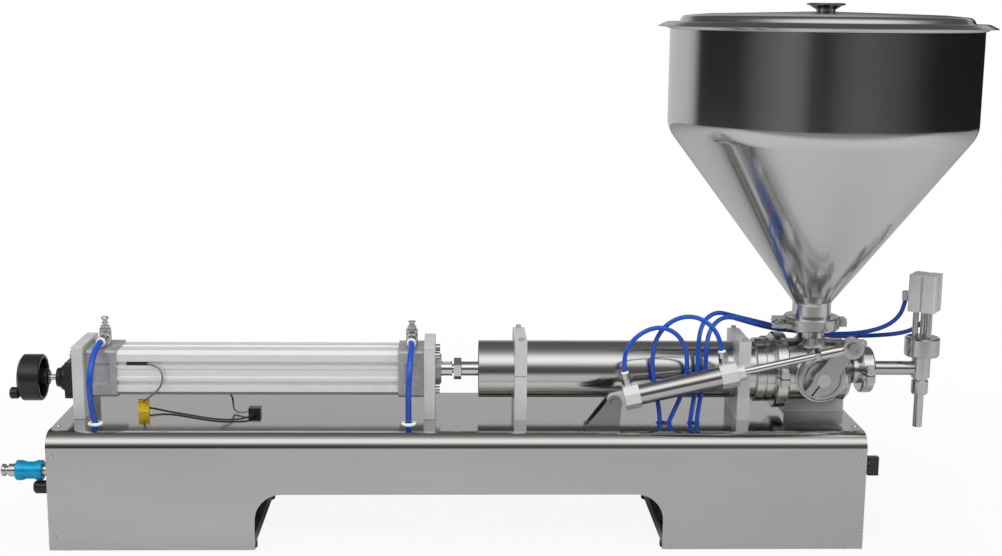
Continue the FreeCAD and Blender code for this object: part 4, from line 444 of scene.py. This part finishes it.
class Recipe(NodeTree):
    """A Geometry Nodes tree with named sizes, used once to make a plain mesh."""

    def __init__(self, name, **sizes):
        super().__init__(bpy.data.node_groups.new(name, "GeometryNodeTree"))
        self.name = name
        self.sizes = sizes
        face = self.tree.interface
        face.new_socket("Geometry", in_out="INPUT", socket_type="NodeSocketGeometry")
        for key in sizes:
            face.new_socket(key, in_out="INPUT", socket_type="NodeSocketFloat")
        face.new_socket("Geometry", in_out="OUTPUT", socket_type="NodeSocketGeometry")
        self.given = self.tree.nodes.new("NodeGroupInput")

    def size(self, key):
        return Wire(self, self.given.outputs[key])

    def vector(self, x=0.0, y=0.0, z=0.0):
        return self.node("ShaderNodeCombineXYZ", None, {0: x, 1: y, 2: z})

    def mesh(self, shape, finish, start):
        """The tree's shape as a plain mesh: `start` is the mesh that it works on."""
        real = self.node("GeometryNodeRealizeInstances", None, {0: shape})
        solid = self.node("GeometryNodeSetMaterial", None, {"Geometry": real, "Material": finish.material})
        self.feed(self.tree.nodes.new("NodeGroupOutput").inputs[0], solid)
        holder = bpy.data.objects.new(self.name, start)
        bpy.context.scene.collection.objects.link(holder)
        modifier = holder.modifiers.new(self.name, "NODES")
        modifier.node_group = self.tree
        for item in self.tree.interface.items_tree:
            if item.in_out == "INPUT" and item.name in self.sizes:
                modifier[item.identifier] = self.sizes[item.name]
        made = bpy.data.meshes.new_from_object(holder.evaluated_get(bpy.context.evaluated_depsgraph_get()))
        bpy.data.objects.remove(holder)
        return made


screw_places = bpy.data.meshes.new("screw_places")
screw_columns, skirt_depth, skirt_heights = (-0.563, 0.472), 0.115, (0.021, 0.126)
top_depths, top_height = (-0.075, 0.075), 0.1555
screw_rows = [((x, side * skirt_depth, z), (0, side, 0))
              for x in screw_columns for side in (-1, 1) for z in skirt_heights]
screw_rows += [((x, y, top_height), (0, 0, 1)) for x in screw_columns for y in top_depths]
screw_places.from_pydata([place for place, _ in screw_rows], [], [])
facing = screw_places.attributes.new("facing", "FLOAT_VECTOR", "POINT")
facing.data.foreach_set("vector", [number for _, out in screw_rows for number in out])
screws = Recipe("panel_screws_made", head_radius=0.0032, crown_radius=0.0021, head_height=0.0016,
                slot_width=0.0009)
head = screws.node("GeometryNodeMeshCone", None, {
    "Vertices": 32, "Radius Top": screws.size("crown_radius"), "Radius Bottom": screws.size("head_radius"),
    "Depth": screws.size("head_height")}, "Mesh")
slot_cutter = screws.node("GeometryNodeTransform", None, {
    "Geometry": screws.node("GeometryNodeMeshCube", None, {"Size": screws.vector(
        screws.size("head_radius") * 3, screws.size("slot_width"), screws.size("head_height"))}, "Mesh"),
    "Translation": screws.vector(z=screws.size("head_height"))})
slotted = screws.node("GeometryNodeMeshBoolean", {"operation": "DIFFERENCE"}, {
    "Mesh 1": head, "Mesh 2": slot_cutter}, "Mesh")
outwards = screws.node("FunctionNodeAlignRotationToVector", {"axis": "Z"}, {
    "Vector": screws.node("GeometryNodeInputNamedAttribute", {"data_type": "FLOAT_VECTOR"}, {
        "Name": "facing"}, "Attribute")})
fitted = screws.node("GeometryNodeInstanceOnPoints", None, {
    "Points": screws.size("Geometry"), "Instance": slotted, "Rotation": outwards})
shown_piece("panel_screws_made", screws.mesh(fitted, bright_fitting, screw_places), "machine",
            bright_fitting, ("panel_screws",))


# Mount plates and tube clamps
# Sawn and bead-blasted aluminium plates that stand on the base and hold the two cylinders.
plate_aluminium = Finish("plate_aluminium", "plate_aluminium", metallic=0.45)
blasted = plate_aluminium.grain((1800, 1800, 1800), 2, 0.7)
stains = plate_aluminium.grain((30, 30, 30), 4)
plate_aluminium.set("Roughness", blasted * 0.14 + stains * 0.10 + 0.30)
plate_aluminium.set("Base Color", plate_aluminium.mix(stains, (0.74, 0.75, 0.74), (0.62, 0.63, 0.63)))
plate_aluminium.bump(blasted, 0.12, 0.0002)
for node_name in ("mount_plates", "tube_clamps"):
    dressed(node_name, plate_aluminium, ease=0.0008)


# Air cylinder
# Die-cast covers on an extruded and clear anodised tube with switch grooves, and a ground chromed rod.
# Socket screws hold the covers to the mount plates and close the tube clamps.
cast_aluminium = Finish("cast_aluminium", "cast_aluminium", (0.52, 0.525, 0.53), 0.65, 0.42)
pores = cast_aluminium.grain((900, 900, 900), 3, 0.6)
cast_aluminium.set("Roughness", pores * 0.2 + 0.3)
cast_aluminium.set("Base Color", cast_aluminium.mix(
    cast_aluminium.grain((60, 60, 60), 4), (0.34, 0.34, 0.345), (0.62, 0.62, 0.63)))
cast_aluminium.bump(pores, 0.2, 0.0003)
anodised_tube = Finish("anodised_tube", "anodised_tube", (0.90, 0.90, 0.895), 0.65, 0.3)
draw_lines = anodised_tube.grain((3, 1300, 1300), 3, 0.6)
anodised_tube.set("Roughness", draw_lines * 0.14 + 0.24)
anodised_tube.bump(draw_lines, 0.1, 0.00012)
hard_chrome = Finish("hard_chrome", "hard_chrome", (0.76, 0.76, 0.76), 1.0, 0.08)
ground = hard_chrome.grain((1500, 40, 40), 2)
hard_chrome.set("Roughness", ground * 0.08 + 0.05)
hard_chrome.bump(ground, 0.04, 0.0001)
for node_name in ("rear_cylinder_cover", "front_cylinder_cover"):
    dressed(node_name, cast_aluminium, ease=0.0008)
dressed("cylinder_tube", anodised_tube, ease=0.0003)
dressed("piston_rod", hard_chrome)
dressed("socket_screws", bright_fitting, ease=0.0003)


# Stroke adjuster
# A moulded handwheel with a revolving grip turns the stop screw in a black anodised block, and the
# sleeve on the screw limits the stroke.
black_metal = Finish("black_metal", "black_metal", (0.02, 0.02, 0.021), 0.3, 0.34)
skin = black_metal.grain((700, 700, 700), 3)
black_metal.set("Roughness", skin * 0.2 + 0.24)
black_metal.bump(skin, 0.1, 0.0002)
black_plastic = Finish("black_plastic", "black_plastic", (0.014, 0.014, 0.015), 0.0, 0.26)
orange_peel = black_plastic.grain((260, 260, 260), 2)
black_plastic.set("Roughness", orange_peel * 0.16 + 0.16)
black_plastic.bump(orange_peel, 0.06, 0.0004)
dressed("adjuster_block", black_metal, ease=0.0006)
dressed("stroke_screw", hard_chrome)
dressed("stop_sleeve", hard_chrome)
for node_name in ("handwheel", "handwheel_grip"):
    dressed(node_name, black_plastic, ease=0.0006)


# Material cylinder
# A polished stainless sanitary tube with a turned collar, held by the tube clamps. Its plastic piston
# sits on a chromed push rod.
polished_steel = Finish("polished_steel", "stainless_polished", (0.61, 0.61, 0.60), 1.0, 0.09)
polish = polished_steel.grain((60, 60, 60), 4)
hair = polished_steel.grain((1600, 60, 60), 2)
polished_steel.set("Roughness", polish * 0.07 + hair * 0.03 + 0.12)
polished_steel.bump(hair, 0.03, 0.0001)
piston_plastic = Finish("piston_plastic", "piston_plastic", (0.80, 0.80, 0.77), 0.0, 0.4)
piston_plastic.set("Roughness", piston_plastic.grain((900, 30, 30)) * 0.2 + 0.3)
dressed("material_cylinder", polished_steel)
dressed("end_collar", polished_steel, ease=0.0003)
dressed("material_piston", piston_plastic)
dressed("pushrod", hard_chrome, ease=0.0003)


# Sanitary joints
# Cast stainless pipe clamps press the ferrules on white rubber seals. A wing nut closes each clamp.
cast_steel = Finish("cast_steel", "stainless_polished", (0.66, 0.655, 0.64), 1.0, 0.2)
ripple = cast_steel.grain((160, 160, 160), 4, 0.6)
cast_steel.set("Roughness", ripple * 0.16 + 0.12)
cast_steel.bump(ripple, 0.12, 0.0008)
white_seal = Finish("white_seal", "white_seal", (0.80, 0.80, 0.77), 0.0, 0.45)
white_seal.set("Roughness", white_seal.grain((400, 400, 400)) * 0.2 + 0.35)
dressed("pipe_clamps", cast_steel, ease=0.0006)
dressed("clamp_gaskets", white_seal)
for node_name in ("wing_nut_body", "wing_nut_outlet", "wing_nut_hopper"):
    dressed(node_name, cast_steel, ease=0.0009)


# Three-way valve
# A turned and welded stainless body with a round cover in front. The slotted lever turns the ported core.
for node_name in ("valve_body", "valve_core"):
    dressed(node_name, polished_steel, ease=0.0005)
ground_steel = Finish("ground_steel", "stainless_brushed", (0.54, 0.535, 0.525), 1.0, 0.3)
swirl = ground_steel.grain((60, 60, 60), 3)
ground_steel.set("Roughness", swirl * 0.10 + 0.24)
ground_steel.bump(swirl, 0.04, 0.0002)
for node_name in ("valve_cover", "valve_lever"):
    dressed(node_name, ground_steel, ease=0.0005)
dressed("valve_stand", plate_aluminium, ease=0.0005)


# Valve cylinder
# A small stainless cylinder with eight-sided aluminium caps and push-in fittings, on a pivot bracket.
# Its chromed rod ends in a swivel eye on the lever.
cap_aluminium = Finish("cap_aluminium", "plate_aluminium", (0.72, 0.72, 0.70), 0.5, 0.38)
tumbled = cap_aluminium.grain((260, 260, 260), 4)
cap_aluminium.set("Roughness", tumbled * 0.2 + 0.26)
cap_aluminium.bump(tumbled, 0.15, 0.0004)
barrel_steel = Finish("barrel_steel", "stainless_polished", (0.60, 0.59, 0.575), 1.0, 0.14)
along = barrel_steel.grain((900, 900, 900), 3)
barrel_steel.set("Roughness", along * 0.12 + 0.10)
barrel_steel.bump(along, 0.05, 0.0001)
slope = math.radians(12.832)
pivot_x, pivot_z = 0.155, 0.190
barrel_starts, barrel_ends, cap_top = 0.0335, 0.1375, 0.0175


def barrel_or_cap(spot):
    """0 on the caps and tail, 1 on the barrel between them and 2 on the push-in fittings."""
    right, up = spot.x - pivot_x, spot.z - pivot_z
    if up * math.cos(slope) - right * math.sin(slope) > cap_top:
        return 2
    return int(barrel_starts < right * math.cos(slope) + up * math.sin(slope) < barrel_ends)


dressed("valve_cylinder", (cap_aluminium, barrel_steel, bright_fitting), ease=0.0004,
        choose=barrel_or_cap)
dressed("valve_cylinder_rod", hard_chrome, ease=0.0002)
dressed("rod_eye", bright_fitting, ease=0.0005)
bracket_steel = Finish("bracket_steel", "stainless_brushed", (0.32, 0.315, 0.31), 1.0, 0.3)
milled = bracket_steel.grain((500, 60, 500), 3)
bracket_steel.set("Roughness", milled * 0.12 + 0.24)
bracket_steel.bump(milled, 0.03, 0.0001)
dressed("cylinder_bracket", bracket_steel, ease=0.0008)


# Hopper and lid
# Spun and welded sheet: a straight wall, a rounded knuckle, a cone and a short neck with its ferrule,
# all polished. The lid is pressed from thinner sheet and lies loose on the rolled rim.
def turned_mesh(name, outline, centre, lift=0.0, around=180):
    """A closed outline of radius, height and corner radius in millimetres, turned round an upright axis."""
    line = []
    for index, (radius, height, corner) in enumerate(outline):
        here = Vector((radius, height))
        before = Vector(outline[index - 1][:2]) - here
        after = Vector(outline[(index + 1) % len(outline)][:2]) - here
        if not corner:
            line.append(here)
            continue
        half = before.angle(after) / 2
        reach = min(corner / math.tan(half), before.length * 0.48, after.length * 0.48)
        middle = here + (before.normalized() + after.normalized()).normalized() * (reach / math.cos(half))
        first = here + before.normalized() * reach - middle
        last = here + after.normalized() * reach - middle
        steps = max(2, math.ceil(math.degrees(math.pi - 2 * half) / 7))
        for step in range(steps + 1):
            line.append(middle + first.slerp(last, step / steps).normalized() * first.length)
    count = len(line)
    spots, faces = [], []
    for turn in range(around):
        cosine, sine = math.cos(math.tau * turn / around), math.sin(math.tau * turn / around)
        row, next_row = turn * count, (turn + 1) % around * count
        for index, spot in enumerate(line):
            after = (index + 1) % count
            spots.append((centre[0] + spot.x * cosine / 1000, centre[1] + spot.x * sine / 1000,
                          (lift + spot.y) / 1000))
            faces.append((row + index, next_row + index, next_row + after, row + after))
    mesh = bpy.data.meshes.new(name)
    mesh.from_pydata(spots, [], faces)
    work = bmesh.new()
    work.from_mesh(mesh)
    bmesh.ops.remove_doubles(work, verts=work.verts, dist=1e-6)
    bmesh.ops.recalc_face_normals(work, faces=work.faces)
    work.to_mesh(mesh)
    work.free()
    return mesh


hopper_steel = Finish("hopper_steel", "stainless_polished", (0.70, 0.70, 0.695), 1.0, 0.1)
spun = hopper_steel.grain((40, 40, 700), 3)
clouds = hopper_steel.grain((14, 14, 9), 3)
height = hopper_steel.axis(2)
knuckle_weld = height.fade(0.531, 0.535) * (1 - height.fade(0.539, 0.543))
neck_weld = height.fade(0.307, 0.309) * (1 - height.fade(0.311, 0.313))
weld = knuckle_weld + neck_weld
hopper_steel.set("Roughness", clouds * 0.06 + spun * 0.03 + weld * 0.05 + 0.09)
hopper_steel.bump(spun * 0.6 + weld * clouds, 0.04, 0.0002)
hopper_centre = (0.4265, 0)
hopper_outline = [
    (16, 281, 0), (32, 281, 0.6), (32, 284, 1), (25.5, 286, 1.5), (25.5, 308, 9), (200, 538, 38),
    (200, 668, 1), (203, 668, 1.2), (206, 671, 1.8), (203, 674, 1.2), (198.5, 674, 0.5),
    (198.5, 538.6, 37), (24, 308.6, 9), (24, 285, 1), (16, 284, 0)]
shown_piece("hopper_made", turned_mesh("hopper_turned", hopper_outline, hopper_centre), "machine",
            hopper_steel, ("hopper",))
rim_drop = 4
lid_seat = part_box("hopper_lid")[0][2] * 1000 + rim_drop
lid_outline = [
    (0, 15.5, 0), (150, 12, 60), (182, 8, 7), (186.5, 0.2, 2), (203, 0, 8), (215, -rim_drop, 0.3),
    (216, 1 - rim_drop, 0.3), (204, 2.7, 6), (188.5, 1.9, 3), (184, 10.5, 8.5), (150, 13.5, 60),
    (12, 17, 1), (12.5, 19.5, 0.8), (21, 24.4, 2), (25, 25.4, 0.4), (25, 26.9, 0.5), (23, 27.9, 0.6),
    (0, 27.9, 0)]
# The lid is the hopper's polished stainless painted darker: painted shade standing in for its darker
# reflections.
lid_steel = Finish("lid_steel", "stainless_polished", (0.50, 0.50, 0.495), 1.0, 0.1)
pressed = lid_steel.grain((14, 14, 14), 3)
lid_steel.set("Roughness", pressed * 0.05 + 0.07)
lid_steel.bump(pressed, 0.04, 0.0004)
shown_piece("hopper_lid_made", turned_mesh("lid_turned", lid_outline, hopper_centre, lid_seat), "lid",
            lid_steel, ("hopper_lid",))


# Filling nozzle
# Polished stainless outlet tube, nozzle body with its drip collar, and nozzle pipe. The compact
# aluminium cylinder above lifts the plunger.
for node_name in ("outlet_tube", "nozzle_body", "nozzle_tip", "nozzle_plunger"):
    dressed(node_name, polished_steel, ease=0.0002)
dressed("nozzle_cylinder", plate_aluminium, ease=0.0006)


# Speed controllers
# Nickel-plated elbows on the cylinder covers. Each has an adjusting screw with a lock nut, a waist
# and a knurled head, and the front screw is turned further in.
dressed("speed_controllers", bright_fitting, ease=0.0003)
screw_seat, nut_top, head_top = 269, 3.8, 11.7
port_rear, port_front = -0.5161, -0.1098
for screw_name, port_x, reach, body in (
        ("speed_screw_rear", port_rear, 15.5, "rear_needle"),
        ("speed_screw_front", port_front, 11, "front_needle")):
    stretch = (reach - nut_top) / head_top
    knob_outline = [
        (0, -8, 0), (3, -8, 0), (3, 0.3, 0), (6, 0.3, 0.5), (6, nut_top, 0.6), (2.6, nut_top, 0.4)]
    knob_outline += [(radius, nut_top + rise * stretch, corner) for radius, rise, corner in (
        (2.6, 2.0, 0.4), (4.5, 2.6, 0.4), (4.5, 4.0, 0.5), (2.4, 4.8, 0.8), (2.5, 6.2, 1.0),
        (4.9, 8.4, 1.0), (5, 10.2, 0.8), (4, head_top, 0.8), (0, head_top, 0))]
    knob = turned_mesh(screw_name + "_turned", knob_outline, (port_x, 0), screw_seat, 48)
    shown_piece(screw_name + "_made", knob, body, bright_fitting, (screw_name,))


# Grommets and release rings
# White plastic. The grommets line the holes in the base top, and the rings sit round the hoses at the
# mouths of the push-in fittings. Pressing one lets its hose go.
white_plastic = Finish("white_plastic", "white_plastic", (0.80, 0.80, 0.80), 0.0, 0.4)
white_plastic.set("Roughness", white_plastic.grain((500, 500, 500)) * 0.2 + 0.3)
dressed("hose_grommets", white_plastic, ease=0.0003)
for ring_name, mouth, tip, turn, bore, body in (
        ("valve_rear", (0.16842, -0.072, 0.22592), "Y", -slope, 3.1, "link_cylinder"),
        ("valve_front", (0.29420, -0.072, 0.25457), "Y", -slope, 3.1, "link_cylinder"),
        ("cover_rear", (port_rear, -0.0269, 0.2555), "X", math.pi / 2, 4.1, "machine"),
        ("cover_front", (port_front, -0.0269, 0.2555), "X", math.pi / 2, 4.1, "machine")):
    rim = bore + 1.9
    ring_outline = [(bore, 0, 0), (rim, 0, 0.3), (rim, 1.6, 0.5), (rim - 0.7, 2.6, 0.4), (bore, 2.6, 0.3)]
    ring = turned_mesh("release_ring_" + ring_name, ring_outline, (0, 0), 0, 40)
    ring.transform(Matrix.Translation(mouth) @ Matrix.Rotation(turn, 4, tip))
    shown_piece("release_ring_" + ring_name, ring, body, white_plastic)


# Switches
# Black reed switches in the grooves of the tube, and the yellow tag and black plug on their leads.
# The tag lies to the left of the plug.
dressed("reed_switches", black_plastic, ease=0.0003)
yellow_tag = Finish("yellow_tag", "yellow_tag", (0.85, 0.60, 0.02), 0.0, 0.45)
yellow_tag.set("Roughness", yellow_tag.grain((500, 500, 500)) * 0.2 + 0.35)
tag_ends = -0.4
dressed("lead_tag", (yellow_tag, black_plastic), ease=0.0002, choose=lambda spot: int(spot.x > tag_ends))


# Panel fittings
# The left panel has the nickel-plated air inlet with its blue slide valve, and a black silencer below.
# The right panel has the black selector.
blue_anodised = Finish("blue_anodised", "blue_anodised", (0.01, 0.36, 0.66), 0.5, 0.3)
blue_anodised.set("Roughness", blue_anodised.grain((700, 700, 700)) * 0.16 + 0.22)
silencer_top = 0.078
dressed("panel_fittings", (bright_fitting, black_plastic), ease=0.0003,
        choose=lambda spot: int(spot.z < silencer_top or spot.x > 0))
dressed("slide_sleeve", blue_anodised, ease=0.0003)
dressed("selector_knob", black_plastic, ease=0.0004)
dressed("control_valve", black_metal, ease=0.0004)
